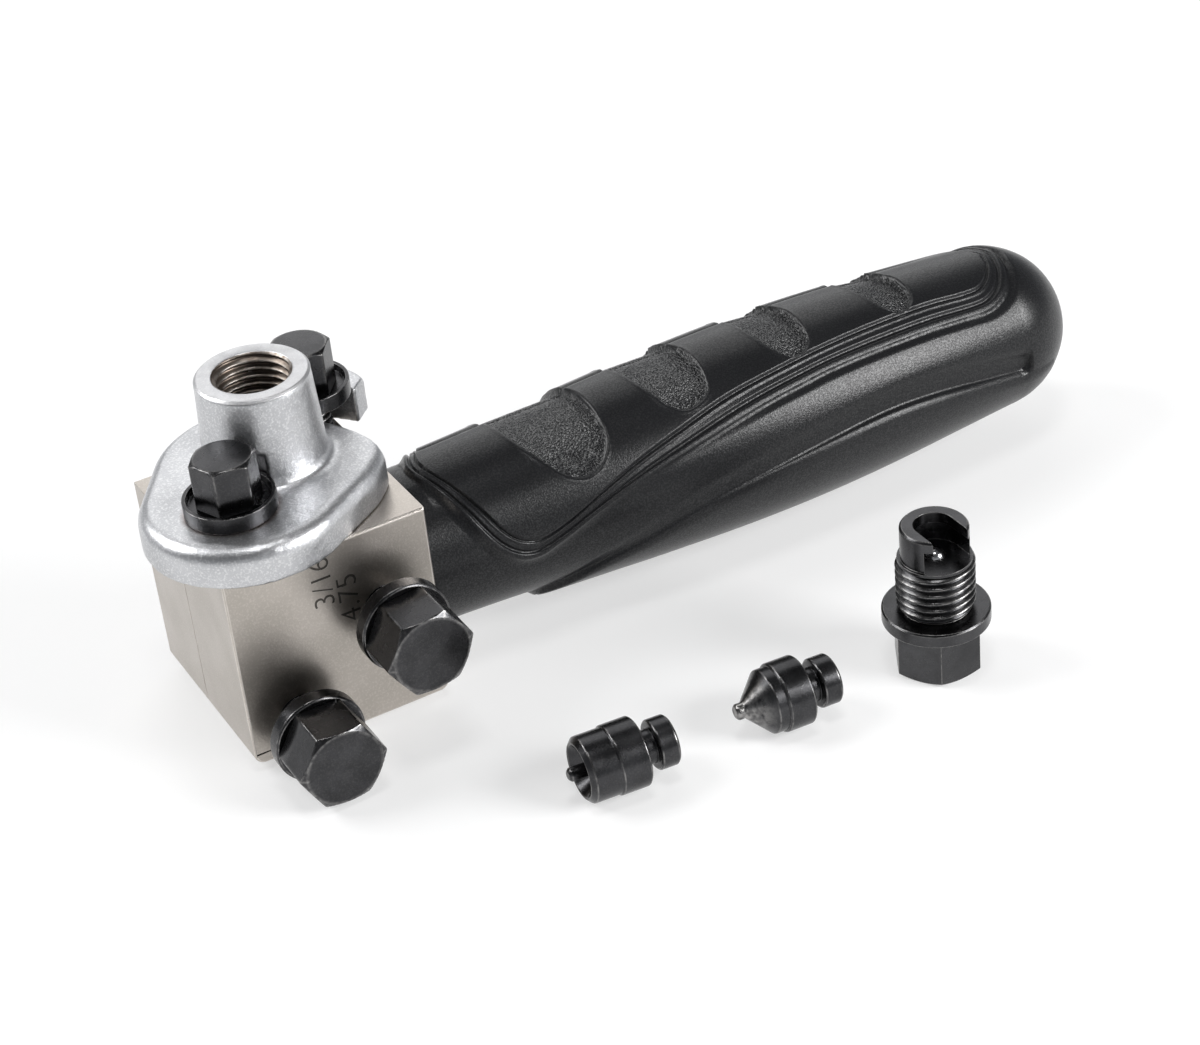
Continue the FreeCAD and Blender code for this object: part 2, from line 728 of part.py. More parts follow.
def make_flare_cup():
    """First punch: a cup with a pilot pin that starts the fold."""
    rim = cup_diameter / 2
    hollow = cup_hollow_diameter / 2
    pilot = pilot_diameter / 2
    tip = cup_pilot_set_back
    profile = [(tip, 0), (tip, pilot - cup_pilot_edge), (tip + cup_pilot_edge, pilot),
               (cup_hollow_depth, pilot), (cup_hollow_depth * 0.8, hollow * 0.62),
               (0, hollow), (0, rim - nose_edge), (nose_edge, rim), (cup_length, rim)]
    profile += punch_tail(cup_length, cup_collar_length)
    return laid_down(profile, cup_x, cup_y, cup_turn)


def make_flare_cone():
    """Second punch: a cone with a pilot pin that closes the fold."""
    pilot = pilot_diameter / 2
    wide = cone_diameter / 2
    cone_end = cone_pilot_length + (wide - pilot) / math.tan(math.radians(cone_angle))
    band_end = cone_end + cone_band_length
    profile = [(0, 0), (0, pilot - nose_edge), (nose_edge, pilot), (cone_pilot_length, pilot),
               (cone_end, wide), (band_end, wide)]
    profile += punch_tail(band_end, cone_collar_length)
    return laid_down(profile, cone_x, cone_y, cone_turn)


lower_clamp, upper_clamp = clamp_places()
nodes = {
    "die_front": make_die_front(),
    "die_rear": make_die_rear(),
    "guide_pins": make_guide_pins(),
    "cap": make_cap(),
    "pivot_washer": make_cap_washer(pivot_place, 0),
    "pivot_bolt": make_cap_bolt(pivot_place, 0),
    "lock_washer": make_cap_washer(lock_place, lock_lift),
    "lock_bolt": make_cap_bolt(lock_place, lock_lift),
    "clamp_washer_left": make_clamp_washer(lower_clamp),
    "clamp_bolt_left": make_clamp_bolt(lower_clamp, clamp_left_turn),
    "clamp_washer_right": make_clamp_washer(upper_clamp),
    "clamp_bolt_right": make_clamp_bolt(upper_clamp, clamp_right_turn),
    "handle_shank": make_handle_shank(),
    "grip": make_grip(),
    "forcing_screw": make_forcing_screw(),
    "detent_ball": make_detent_ball(),
    "detent_spring": make_detent_spring(),
    "flare_cup": make_flare_cup(),
    "flare_cone": make_flare_cone(),
}

os.makedirs("parts", exist_ok=True)
for name, shape in nodes.items():
    shape.exportStep("parts/" + name + ".step")
    print(name, len(shape.Solids), round(shape.Volume, 1), shape.isValid())
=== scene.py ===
"""Looks of a double flaring tool: die block, swinging cap, bolts, moulded grip,
forcing screw and two punches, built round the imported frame. Lengths are in metres.
"""
import math

import bmesh
import bpy
import numpy as np
from mathutils import Matrix, Vector


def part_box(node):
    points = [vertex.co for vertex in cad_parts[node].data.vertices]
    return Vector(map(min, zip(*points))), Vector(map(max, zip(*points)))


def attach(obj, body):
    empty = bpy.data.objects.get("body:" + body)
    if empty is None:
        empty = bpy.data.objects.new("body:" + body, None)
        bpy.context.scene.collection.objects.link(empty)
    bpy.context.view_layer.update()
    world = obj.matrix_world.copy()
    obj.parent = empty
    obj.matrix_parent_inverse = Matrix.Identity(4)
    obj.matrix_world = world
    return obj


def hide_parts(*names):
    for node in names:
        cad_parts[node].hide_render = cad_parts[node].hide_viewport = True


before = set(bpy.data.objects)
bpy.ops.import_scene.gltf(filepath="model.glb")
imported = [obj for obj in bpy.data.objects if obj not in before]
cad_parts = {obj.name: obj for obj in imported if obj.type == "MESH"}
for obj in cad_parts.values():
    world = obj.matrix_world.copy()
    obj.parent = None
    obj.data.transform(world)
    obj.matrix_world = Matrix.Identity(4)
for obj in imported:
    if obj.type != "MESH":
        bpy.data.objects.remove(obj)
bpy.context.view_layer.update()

# Die block
# Two halves of steel, milled square, stamped and satin nickel plated. The plating is a
# warm grey with a fine pebbled skin. Its edge rounds get a lighter grey as a painted
# highlight, with a few chips of wear.

MM = 0.001
ROUGHNESS_SWING = 0.16


def group_socket(tree, name, kind, value=None):
    """Add an input to a node group, with its usual value."""
    socket = tree.interface.new_socket(name=name, in_out="INPUT", socket_type=kind)
    if value is not None:
        socket.default_value = value


def ramp(nodes, low, high, start=0.0, end=1.0):
    """Map Range node: a value from low to high becomes start to end, held outside them."""
    spread = nodes.new("ShaderNodeMapRange")
    spread.inputs["From Min"].default_value = low
    spread.inputs["From Max"].default_value = high
    spread.inputs["To Min"].default_value = start
    spread.inputs["To Max"].default_value = end
    return spread


def colour_mix(nodes):
    """Mix node for colours: inputs 6 and 7 are the two colours, output 2 their mixture."""
    mix = nodes.new("ShaderNodeMix")
    mix.data_type = "RGBA"
    return mix


def math_node(nodes, operation):
    """Math node for one operation."""
    node = nodes.new("ShaderNodeMath")
    node.operation = operation
    return node


def build_metal_skin():
    """Node group: two tones in blotches, single grains picked out with the edge colour as a
    painted glint, edges brightened by the wear mask where it is broken up, a roughness that
    swings with the blotches, and the grain as a height."""
    tree = bpy.data.node_groups.new("metal_skin", "ShaderNodeTree")
    group_socket(tree, "Base", "NodeSocketColor")
    group_socket(tree, "Tone", "NodeSocketColor")
    group_socket(tree, "Edge", "NodeSocketColor")
    group_socket(tree, "Wear", "NodeSocketFloat", 0.0)
    group_socket(tree, "Painted Glint", "NodeSocketFloat", 0.0)
    group_socket(tree, "Roughness", "NodeSocketFloat", 0.4)
    group_socket(tree, "Blotch Scale", "NodeSocketFloat", 120.0)
    group_socket(tree, "Grain Scale", "NodeSocketFloat", 2500.0)
    for name, kind in (("Color", "NodeSocketColor"), ("Roughness", "NodeSocketFloat"),
                       ("Height", "NodeSocketFloat")):
        tree.interface.new_socket(name=name, in_out="OUTPUT", socket_type=kind)
    nodes, links = tree.nodes, tree.links
    given = nodes.new("NodeGroupInput")
    result = nodes.new("NodeGroupOutput")
    place = nodes.new("ShaderNodeTexCoord")
    blotch = nodes.new("ShaderNodeTexNoise")
    blotch.inputs["Detail"].default_value = 5
    grain = nodes.new("ShaderNodeTexNoise")
    grain.inputs["Detail"].default_value = 3
    chips = nodes.new("ShaderNodeTexNoise")
    chips.inputs["Scale"].default_value = 900
    for texture in (blotch, grain, chips):
        links.new(place.outputs["Object"], texture.inputs["Vector"])
    links.new(given.outputs["Blotch Scale"], blotch.inputs["Scale"])
    links.new(given.outputs["Grain Scale"], grain.inputs["Scale"])
    # Base and Tone are mixed in blotches
    blotches = ramp(nodes, 0.35, 0.65)
    tones = colour_mix(nodes)
    links.new(blotch.outputs["Fac"], blotches.inputs["Value"])
    links.new(blotches.outputs["Result"], tones.inputs["Factor"])
    links.new(given.outputs["Base"], tones.inputs[6])
    links.new(given.outputs["Tone"], tones.inputs[7])
    # Single grains take the Edge colour as a painted glint
    grains = ramp(nodes, 0.50, 0.64)
    bright = math_node(nodes, "MULTIPLY")
    with_painted_glint = colour_mix(nodes)
    links.new(grain.outputs["Fac"], grains.inputs["Value"])
    links.new(grains.outputs["Result"], bright.inputs[0])
    links.new(given.outputs["Painted Glint"], bright.inputs[1])
    links.new(bright.outputs[0], with_painted_glint.inputs["Factor"])
    links.new(tones.outputs[2], with_painted_glint.inputs[6])
    links.new(given.outputs["Edge"], with_painted_glint.inputs[7])
    # Wear rubs the edges bright in chips
    broken = ramp(nodes, 0.30, 0.62)
    worn = math_node(nodes, "MULTIPLY")
    edges = colour_mix(nodes)
    links.new(chips.outputs["Fac"], broken.inputs["Value"])
    links.new(broken.outputs["Result"], worn.inputs[0])
    links.new(given.outputs["Wear"], worn.inputs[1])
    links.new(worn.outputs[0], edges.inputs["Factor"])
    links.new(with_painted_glint.outputs[2], edges.inputs[6])
    links.new(given.outputs["Edge"], edges.inputs[7])
    # Roughness swings by half of its swing either way
    lower = math_node(nodes, "ADD")
    lower.inputs[1].default_value = -ROUGHNESS_SWING / 2
    shift = math_node(nodes, "MULTIPLY_ADD")
    shift.inputs[1].default_value = ROUGHNESS_SWING
    links.new(given.outputs["Roughness"], lower.inputs[0])
    links.new(blotch.outputs["Fac"], shift.inputs[0])
    links.new(lower.outputs[0], shift.inputs[2])
    links.new(edges.outputs[2], result.inputs["Color"])
    links.new(shift.outputs[0], result.inputs["Roughness"])
    links.new(grain.outputs["Fac"], result.inputs["Height"])
    return tree


metal_skin = build_metal_skin()


def metal(name, base, tone, edge, roughness, blotch, grain, bump, painted_glint=0.0, wear=0.0):
    """Metal made with the skin group. blotch and grain are scales, bump is the height of
    the grain, speck the strength of its bright grains of painted glint, and wear a number or
    the name of a mesh attribute."""
    material = bpy.data.materials.new(name)
    material.use_nodes = True
    nodes, links = material.node_tree.nodes, material.node_tree.links
    surface = nodes["Principled BSDF"]
    surface.inputs["Metallic"].default_value = 1.0
    skin = nodes.new("ShaderNodeGroup")
    skin.node_tree = metal_skin
    skin.inputs["Base"].default_value = (*base, 1)
    skin.inputs["Tone"].default_value = (*tone, 1)
    skin.inputs["Edge"].default_value = (*edge, 1)
    skin.inputs["Roughness"].default_value = roughness
    skin.inputs["Painted Glint"].default_value = painted_glint
    skin.inputs["Blotch Scale"].default_value = blotch
    skin.inputs["Grain Scale"].default_value = grain
    if isinstance(wear, str):
        mask = nodes.new("ShaderNodeAttribute")
        mask.attribute_name = wear
        links.new(mask.outputs["Fac"], skin.inputs["Wear"])
    else:
        skin.inputs["Wear"].default_value = wear
    relief = nodes.new("ShaderNodeBump")
    relief.inputs["Strength"].default_value = 1.0
    relief.inputs["Distance"].default_value = bump
    links.new(skin.outputs["Color"], surface.inputs["Base Color"])
    links.new(skin.outputs["Roughness"], surface.inputs["Roughness"])
    links.new(skin.outputs["Height"], relief.inputs["Height"])
    links.new(relief.outputs["Normal"], surface.inputs["Normal"])
    return material


# Here and in the metals below, the bright grains are a painted glint
nickel_plate = metal("nickel_plate", base=(0.50, 0.46, 0.42), tone=(0.45, 0.415, 0.375),
                     edge=(0.72, 0.68, 0.63), roughness=0.34, blotch=90, grain=3000,
                     bump=0.03 * MM, painted_glint=0.25)
# Lighter grey for edge rounds and stamp lines: a painted highlight, with chips of wear
nickel_highlight_and_wear = metal("nickel_highlight_and_wear", base=(0.62, 0.58, 0.54), tone=(0.50, 0.46, 0.42),
                    edge=(0.80, 0.76, 0.72), roughness=0.30, blotch=300, grain=2500,
                    bump=0.02 * MM, wear=0.3)

MERGE_DISTANCE = 0.002 * MM
FLAT_ANGLE = math.radians(0.8)
SHARP_ANGLE = math.radians(28)


def merged_copy(node, name, flat_angle=None):
    """Copy of a CAD node's mesh with its loose triangles joined at their corners. Where an
    angle is given, faces that lie flatter than it become one."""
    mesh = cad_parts[node].data.copy()
    mesh.name = name
    joined = bmesh.new()
    joined.from_mesh(mesh)
    bmesh.ops.remove_doubles(joined, verts=joined.verts, dist=MERGE_DISTANCE)
    if flat_angle is not None:
        bmesh.ops.dissolve_limit(joined, angle_limit=flat_angle, verts=joined.verts,
                                 edges=joined.edges)
    joined.to_mesh(mesh)
    joined.free()
    return mesh


def add_piece(mesh, materials, body, slot, *nodes):
    """Object for a finished mesh, riding on its body and standing for its CAD nodes."""
    mesh.materials.clear()
    for material in materials:
        mesh.materials.append(material)
    piece = bpy.data.objects.new(mesh.name, mesh)
    bpy.context.scene.collection.objects.link(piece)
    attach(piece, body)
    if nodes:
        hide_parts(*nodes)
    return piece


def machined_copy(node, width, body, slot, face_material, edge_material):
    """Copy of a CAD node whose sharp edges are rounded and take a material of their own."""
    mesh = merged_copy(node, node + "_finish", FLAT_ANGLE)
    mesh.polygons.foreach_set("material_index", [0] * len(mesh.polygons))
    mesh.shade_smooth()
    mesh.set_sharp_from_angle(angle=SHARP_ANGLE)
    piece = add_piece(mesh, [face_material, edge_material], body, slot, node)
    rounding = piece.modifiers.new("edge round", "BEVEL")
    rounding.width = width
    rounding.segments = 2
    rounding.limit_method = "ANGLE"
    rounding.angle_limit = SHARP_ANGLE
    rounding.material = 1
    rounding.use_clamp_overlap = True
    rounding.harden_normals = True


DIE_EDGE = 0.16 * MM
# The die halves' edge rounds get the lighter nickel, a painted highlight with chips of wear
for half, half_body in (("die_front", "root"), ("die_rear", "rear_jaw")):
    machined_copy(half, DIE_EDGE, half_body, "nickel_plate", nickel_plate, nickel_highlight_and_wear)

# Stamped sizes
# The tube's two plain size numbers are stamped into the front face and read upwards. Each
# stroke is a dark sheet of painted shade for the stamped cut, with a thin bright line of
# painted highlight along one side.

STAMP_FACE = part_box("die_front")[0].y
DIGIT_SIZE = 5.5 * MM
DIGIT_STRETCH = 1.05
DIGIT_THINNING = 0.05 * MM
STROKE_HEIGHT = 0.004 * MM
STROKE_LIFT = 0.016 * MM
HIGHLIGHT_LIFT = 0.006 * MM
HIGHLIGHT_SHIFT = 0.10 * MM
INCH_PLACE = (0.2 * MM, 26.4 * MM)
METRIC_PLACE = (4.6 * MM, 21.7 * MM)
# Dark strokes: painted shade of the stamped cuts
stroke_painted_shade = metal("stroke_painted_shade", base=(0.11, 0.10, 0.09), tone=(0.07, 0.065, 0.06),
                    edge=(0.2, 0.2, 0.2), roughness=0.40, blotch=500, grain=2600,
                    bump=0.01 * MM)


def face_outwards(mesh, merge_distance=None):
    """Turn every face of a closed mesh outwards, its doubles merged first where asked."""
    turning = bmesh.new()
    turning.from_mesh(mesh)
    if merge_distance is not None:
        bmesh.ops.remove_doubles(turning, verts=turning.verts, dist=merge_distance)
    bmesh.ops.recalc_face_normals(turning, faces=turning.faces)
    turning.to_mesh(mesh)
    turning.free()


def stamped(name, text, foot_x, start_z, lift, material):
    """Thin closed digits on the front face that read upwards, their tops towards -X: a
    digit's height runs down X from its foot, and its width up Z from the start."""
    lettering = bpy.data.curves.new(name, "FONT")
    lettering.body = text
    lettering.size = DIGIT_SIZE
    lettering.offset = -DIGIT_THINNING
    lettering.extrude = STROKE_HEIGHT
    lettering.resolution_u = 4
    holder = bpy.data.objects.new(name + "_text", lettering)
    mesh = bpy.data.meshes.new_from_object(holder)
    mesh.name = name
    bpy.data.objects.remove(holder)
    flat = np.empty(len(mesh.vertices) * 3)
    mesh.vertices.foreach_get("co", flat)
    flat = flat.reshape(-1, 3)
    placed = np.stack([foot_x - flat[:, 1], STAMP_FACE - lift - flat[:, 2],
                       start_z + flat[:, 0] * DIGIT_STRETCH], -1)
    mesh.vertices.foreach_set("co", placed.reshape(-1))
    face_outwards(mesh, merge_distance=0.0001 * MM)
    add_piece(mesh, [material], "root", "nickel_plate")


# Each number is laid twice: a bright line of painted highlight shifted to one side, and the dark
# strokes of painted shade in front of it
for size_name, size_text, (size_foot, size_start) in (("stamp_inch", "3/16", INCH_PLACE),
                                                      ("stamp_metric", "4.75", METRIC_PLACE)):
    stamped(size_name + "_painted_highlight", size_text, size_foot + HIGHLIGHT_SHIFT, size_start - HIGHLIGHT_SHIFT,
            HIGHLIGHT_LIFT, nickel_highlight_and_wear)
    stamped(size_name, size_text, size_foot, size_start, STROKE_LIFT, stroke_painted_shade)

# Guide pins, shank and spring
# Ground steel dowels, the rod inside the grip and the small coil under the ball. All are
# plain bright steel and sit inside other pieces.

ground_steel = metal("ground_steel", base=(0.50, 0.50, 0.51), tone=(0.42, 0.42, 0.43),
                     edge=(0.7, 0.7, 0.7), roughness=0.30, blotch=200, grain=3000,
                     bump=0.01 * MM)
for hidden in ("guide_pins", "handle_shank", "detent_spring"):
    hidden_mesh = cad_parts[hidden].data
    hidden_mesh.materials.clear()
    hidden_mesh.materials.append(ground_steel)

# Cap
# One steel casting with a sandy skin under bright zinc. Its rim is well rounded, and a
# brown bloom of rust shows round the seat of the pivot collar. The boss is faced and
# tapped after casting.

CAST_VOXEL = 0.34 * MM
CAST_WAVE = 1.6 * MM
CAST_RELIEF = 0.10 * MM
RUST = (0.10, 0.035, 0.015, 1)
RUST_START = 0.1 * MM
RUST_REACH = 0.9 * MM
pivot_low, pivot_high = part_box("pivot_washer")
pivot_centre = (pivot_low + pivot_high) / 2
pivot_radius = (pivot_high.x - pivot_low.x) / 2
cap_low, cap_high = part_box("cap")


def cast_zinc():
    """Silvery casting with a sandy grain. Rust is full at the pivot collar's edge and fades
    to none over its reach, broken up by a noise."""
    material = metal("cast_zinc", base=(0.56, 0.565, 0.58), tone=(0.49, 0.495, 0.51),
                     edge=(0.93, 0.93, 0.93), roughness=0.38, blotch=110, grain=2700,
                     bump=0.05 * MM, painted_glint=0.40)
    nodes, links = material.node_tree.nodes, material.node_tree.links
    surface = nodes["Principled BSDF"]
    place = nodes.new("ShaderNodeTexCoord")
    away = nodes.new("ShaderNodeVectorMath")
    away.operation = "SUBTRACT"
    away.inputs[1].default_value = (pivot_centre.x, pivot_centre.y, pivot_low.z)
    reach = nodes.new("ShaderNodeVectorMath")
    reach.operation = "LENGTH"
    stain = ramp(nodes, pivot_radius + RUST_REACH, pivot_radius + RUST_START)
    patchy = nodes.new("ShaderNodeTexNoise")
    patchy.inputs["Scale"].default_value = 450
    both = math_node(nodes, "MULTIPLY")
    tint = colour_mix(nodes)
    tint.inputs[7].default_value = RUST
    skin_colour = surface.inputs["Base Color"].links[0].from_socket
    links.new(place.outputs["Object"], away.inputs[0])
    links.new(place.outputs["Object"], patchy.inputs["Vector"])
    links.new(away.outputs["Vector"], reach.inputs[0])
    links.new(reach.outputs["Value"], stain.inputs["Value"])
    links.new(stain.outputs["Result"], both.inputs[0])
    links.new(patchy.outputs["Fac"], both.inputs[1])
    links.new(both.outputs[0], tint.inputs["Factor"])
    links.new(skin_colour, tint.inputs[6])
    links.new(tint.outputs[2], surface.inputs["Base Color"])
    return material


casting = add_piece(merged_copy("cap", "cap_casting"), [cast_zinc()], "cap", "cast_steel", "cap")
even_skin = casting.modifiers.new("even skin", "REMESH")
even_skin.mode = "VOXEL"
even_skin.voxel_size = CAST_VOXEL
even_skin.use_smooth_shade = True
soft_corners = casting.modifiers.new("soft corners", "SMOOTH")
soft_corners.factor = 0.5
soft_corners.iterations = 5
sand_texture = bpy.data.textures.new("sand_skin", "CLOUDS")
sand_texture.noise_scale = CAST_WAVE
sand_texture.noise_depth = 3
sand_skin = casting.modifiers.new("sand skin", "DISPLACE")
sand_skin.texture = sand_texture
sand_skin.texture_coords = "LOCAL"
sand_skin.strength = CAST_RELIEF
sand_skin.mid_level = 0.5

# Faced rim and thread of the boss
# The top of the boss is turned flat and its bore is tapped with the forcing screw's
# thread. The crests of the thread stay bright and its roots are dark.

THREAD_PITCH = 1.5 * MM
CREST_FLAT = 0.12
BORE_MAJOR = 7.02 * MM
BORE_MINOR = 6.20 * MM
MOUTH_DEPTH = 0.9 * MM
FACE_INNER = BORE_MAJOR + 0.25 * MM
FACE_OUTER = 9.55 * MM
RIM_OUTER = 10.04 * MM
RIM_DROP = 0.7 * MM
RING_BACK = 8.0 * MM
PROUD = 0.02 * MM
HIDDEN_END = 0.1 * MM
SOFT_CORNER = 0.12 * MM
ROUND_STEPS = 96
UP = (0, 0, 1)


def round_section(points, softness):
    """Profile of (along, radius) corners with each corner softened by an arc of 3 points.

    Returns the along and radius arrays, and a wear array that is highest on outer corners."""
    corners = np.array(points, float)
    along, radius, wear = [corners[0, 0]], [corners[0, 1]], [0.0]
    for before, here, after in zip(corners, corners[1:], corners[2:]):
        back, ahead = before - here, after - here
        back_way, ahead_way = back / np.hypot(*back), ahead / np.hypot(*ahead)
        reach = min(softness, np.hypot(*back) * 0.3, np.hypot(*ahead) * 0.3)
        start = here + back_way * reach
        end = here + ahead_way * reach
        turn = back[0] * ahead[1] - back[1] * ahead[0]
        outer = 1.0 if turn > 0 else 0.0
        for point, amount in ((start + back_way * reach * 0.6, 0.0), (start, 0.2),
                              (start * 0.25 + here * 0.5 + end * 0.25, 0.5), (end, 0.2),
                              (end + ahead_way * reach * 0.6, 0.0)):
            along.append(point[0])
            radius.append(point[1])
            wear.append(amount * outer)
    along.append(corners[-1, 0])
    radius.append(corners[-1, 1])
    wear.append(0.0)
    return np.array(along), np.array(radius), np.array(wear)


def closed_mesh(name, points, ends, mask_name, mask):
    """Closed mesh over a grid of points that runs row by row round an axis.

    The first and the last row fan in to the two end points. Without end points the last
    row joins the first. The mask is kept on the mesh as an attribute."""
    rows, columns, _ = points.shape
    index = np.arange(rows * columns).reshape(rows, columns)
    vertices, values = points.reshape(-1, 3), mask.reshape(-1)
    if ends is None:
        index = np.vstack([index, index[:1]])
    beside = np.roll(index, -1, axis=1)
    faces = np.stack([index[:-1], beside[:-1], beside[1:], index[1:]], -1).reshape(-1, 4)
    faces = faces.tolist()
    if ends is not None:
        first = np.full(columns, len(vertices))
        faces += np.stack([first, beside[0], index[0]], -1).tolist()
        faces += np.stack([first + 1, index[-1], beside[-1]], -1).tolist()
        vertices, values = np.vstack([vertices, ends]), np.append(values, [0, 0])
    mesh = bpy.data.meshes.new(name)
    mesh.from_pydata(vertices.tolist(), [], faces)
    attribute = mesh.attributes.new(mask_name, "FLOAT", "POINT")
    attribute.data.foreach_set("value", values.astype(np.float32))
    face_outwards(mesh)
    mesh.shade_smooth()
    return mesh


def turned_mesh(name, along, radius, angles, wear, place, axis, closed_ring=False):
    """Closed mesh of a turned form: row i, column j stands along[i] up the axis, at
    radius[i, j] and angles[j] round it. The ends close at the axis, or as a ring."""
    rows, columns = radius.shape
    heights = np.broadcast_to(along[:, None], (rows, columns))
    local = np.stack([radius * np.cos(angles), radius * np.sin(angles), heights], -1)
    wear = np.broadcast_to(np.reshape(wear, (rows, -1)), (rows, columns))
    turn = np.array(Vector((0, 0, 1)).rotation_difference(Vector(axis)).to_matrix()).T
    ends = None
    if not closed_ring:
        ends = np.array([[0, 0, along[0]], [0, 0, along[-1]]]) @ turn + np.array(place)
    return closed_mesh(name, local @ turn + np.array(place), ends, "wear", wear)


def thread_wave(along, angles, pitch):
    """Depth of a V thread from 0 at its crest to 1 at its root, as a helix."""
    phase = along[:, None] / pitch - angles[None, :] / (2 * math.pi)
    ramp_down = np.abs((phase % 1.0) * 2 - 1)
    return np.clip((ramp_down - CREST_FLAT) / (1 - 2 * CREST_FLAT), 0, 1)


def crest_wear(wave, strength):
    """Wear that is highest on a thread's crests and falls with the cube of its height."""
    return (1 - wave) ** 3 * strength


machined_zinc = metal("machined_zinc", base=(0.60, 0.60, 0.61), tone=(0.54, 0.54, 0.55),
                      edge=(0.80, 0.80, 0.80), roughness=0.42, blotch=500, grain=3000,
                      bump=0.04 * MM, painted_glint=0.25, wear="wear")
tapped_zinc = metal("tapped_zinc", base=(0.19, 0.155, 0.13), tone=(0.11, 0.09, 0.075),
                    edge=(0.50, 0.47, 0.44), roughness=0.40, blotch=500, grain=3500,
                    bump=0.02 * MM, wear="wear")

even_angles = np.linspace(0, 2 * math.pi, ROUND_STEPS, endpoint=False)
boss_centre = (0.0, 0.0, 0.0)
boss_top = cap_high.z
tapped_along = np.arange(cap_low.z + HIDDEN_END, boss_top - HIDDEN_END, THREAD_PITCH / 10)
wave = thread_wave(tapped_along, even_angles, THREAD_PITCH)
# An inside thread is cut outwards, so its crest is the small radius
tapped_radius = BORE_MINOR + (BORE_MAJOR - BORE_MINOR) * wave
mouth = (tapped_along - (boss_top - MOUTH_DEPTH))[:, None] + BORE_MINOR
tapped_radius = np.maximum(tapped_radius, mouth)
face_along, face_radius, face_wear = round_section(
    [(boss_top + PROUD, FACE_INNER), (boss_top + PROUD, FACE_OUTER),
     (boss_top - 0.45 * MM, RIM_OUTER), (boss_top - RIM_DROP, RIM_OUTER - 0.14 * MM),
     (boss_top - RIM_DROP, RING_BACK), (cap_low.z + HIDDEN_END, RING_BACK)], SOFT_CORNER)
face_rows = np.repeat(face_radius[:, None], len(even_angles), 1)
ring_along = np.concatenate([tapped_along, face_along])
ring_radius = np.vstack([tapped_radius, face_rows])
ring_wear = np.vstack([crest_wear(wave, 0.8),
                       np.repeat(face_wear[:, None] * 0.4, len(even_angles), 1)])
boss_mesh = turned_mesh("boss_thread", ring_along, ring_radius, even_angles, ring_wear,
                        boss_centre, UP, closed_ring=True)
add_piece(boss_mesh, [machined_zinc, tapped_zinc], "cap", "cast_steel")
thread_faces = (len(tapped_along) - 1) * len(even_angles)
plain_faces = len(boss_mesh.polygons) - thread_faces
boss_mesh.polygons.foreach_set("material_index", [1] * thread_faces + [0] * plain_faces)

# Bolts and collars
# Black oxide hex bolts with turned, chamfered heads. The cap's two sit in cupped collars
# and the clamp's two on thick plain ones. Their corners are rubbed bright.

BOLT_PITCH = 1.25 * MM
THREAD_DEPTH = 0.61
POINT_CHAMFER = 1.1 * MM
SHANK_RADIUS = 4.0 * MM
SHANK_HOLE = 4.3 * MM
HIDDEN_LAP = 0.2 * MM
HALF_SIDE = math.radians(30)
HEAD_CHAMFER = math.radians(32)
HEAD_FACE_INSET = 0.12 * MM
CORNER_ROUND = 0.10 * MM
black_oxide = metal("black_oxide", base=(0.045, 0.045, 0.047), tone=(0.062, 0.062, 0.065),
                    edge=(0.42, 0.41, 0.40), roughness=0.27, blotch=260, grain=3200,
                    bump=0.01 * MM, painted_glint=0.04, wear="wear")

# A head's columns crowd round its six corners, so that these stay crisp
corner_offsets = np.radians([-30, -22, -14, -8, -4.5, -2.4, -1, 0, 1, 2.4, 4.5, 8, 14, 22])
hex_angles = (np.radians(np.arange(6) * 60)[:, None] + corner_offsets[None, :]).reshape(-1)


def bell(distance, width):
    """Bell curve: 1 at no distance, falling off over the width either way."""
    return np.exp(-(distance / width) ** 2)


def hex_head(name, flats, base, top, place, axis, turn):
    """Hex head as one turned form: the radius is the smaller of hexagon and chamfer cone.

    Its wear is the sum of bells on the corners, on the chamfer's edge and on the rim."""
    offset = (hex_angles + HALF_SIDE) % math.radians(60) - HALF_SIDE
    from_flat = HALF_SIDE - np.abs(offset)
    corner = flats / 2 / math.cos(HALF_SIDE)
    hexagon = np.minimum(flats / 2 / np.cos(from_flat), corner - CORNER_ROUND)
    slope = math.tan(HEAD_CHAMFER)
    fall = (corner - flats / 2) * slope + 0.3 * MM
    face = flats / 2 - HEAD_FACE_INSET
    side_rows = np.array([base, base + HEAD_FACE_INSET, base + (top - base) * 0.35])
    edge_rows = np.linspace(top - fall - 0.3 * MM, top, 20)
    along = np.concatenate([[base], side_rows, edge_rows, [top + PROUD]])
    cone = face + (top - along) / slope
    radius = np.minimum(hexagon[None, :], cone[:, None])
    radius[0] *= 0.5
    radius[1] -= CORNER_ROUND
    radius[-1] = face * 0.93
    near_corner = bell(from_flat - HALF_SIDE, math.radians(1.6))
    near_cone = bell(hexagon[None, :] - cone[:, None], 0.16 * MM)
    rim = bell(along - top, 0.10 * MM)[:, None]
    wear = np.clip(near_corner[None, :] * 0.32 + near_cone * 0.42 + rim * 0.3, 0, 1)
    wear[0] = 0
    wear[-1] = 0
    return turned_mesh(name, along, radius, hex_angles + math.radians(turn), wear, place, axis)


def threaded_shank(name, start, end, place, axis):
    """Rod cut with a V thread, whose radius is the smaller of thread and point chamfer."""
    along = np.arange(start, end, BOLT_PITCH / 10)
    wave = thread_wave(along, even_angles, BOLT_PITCH)
    thread = SHANK_RADIUS - THREAD_DEPTH * BOLT_PITCH * wave
    point = np.clip(along - start, 0, None)[:, None] + SHANK_RADIUS - POINT_CHAMFER
    return turned_mesh(name, along, np.minimum(thread, point), even_angles,
                       crest_wear(wave, 0.4), place, axis)


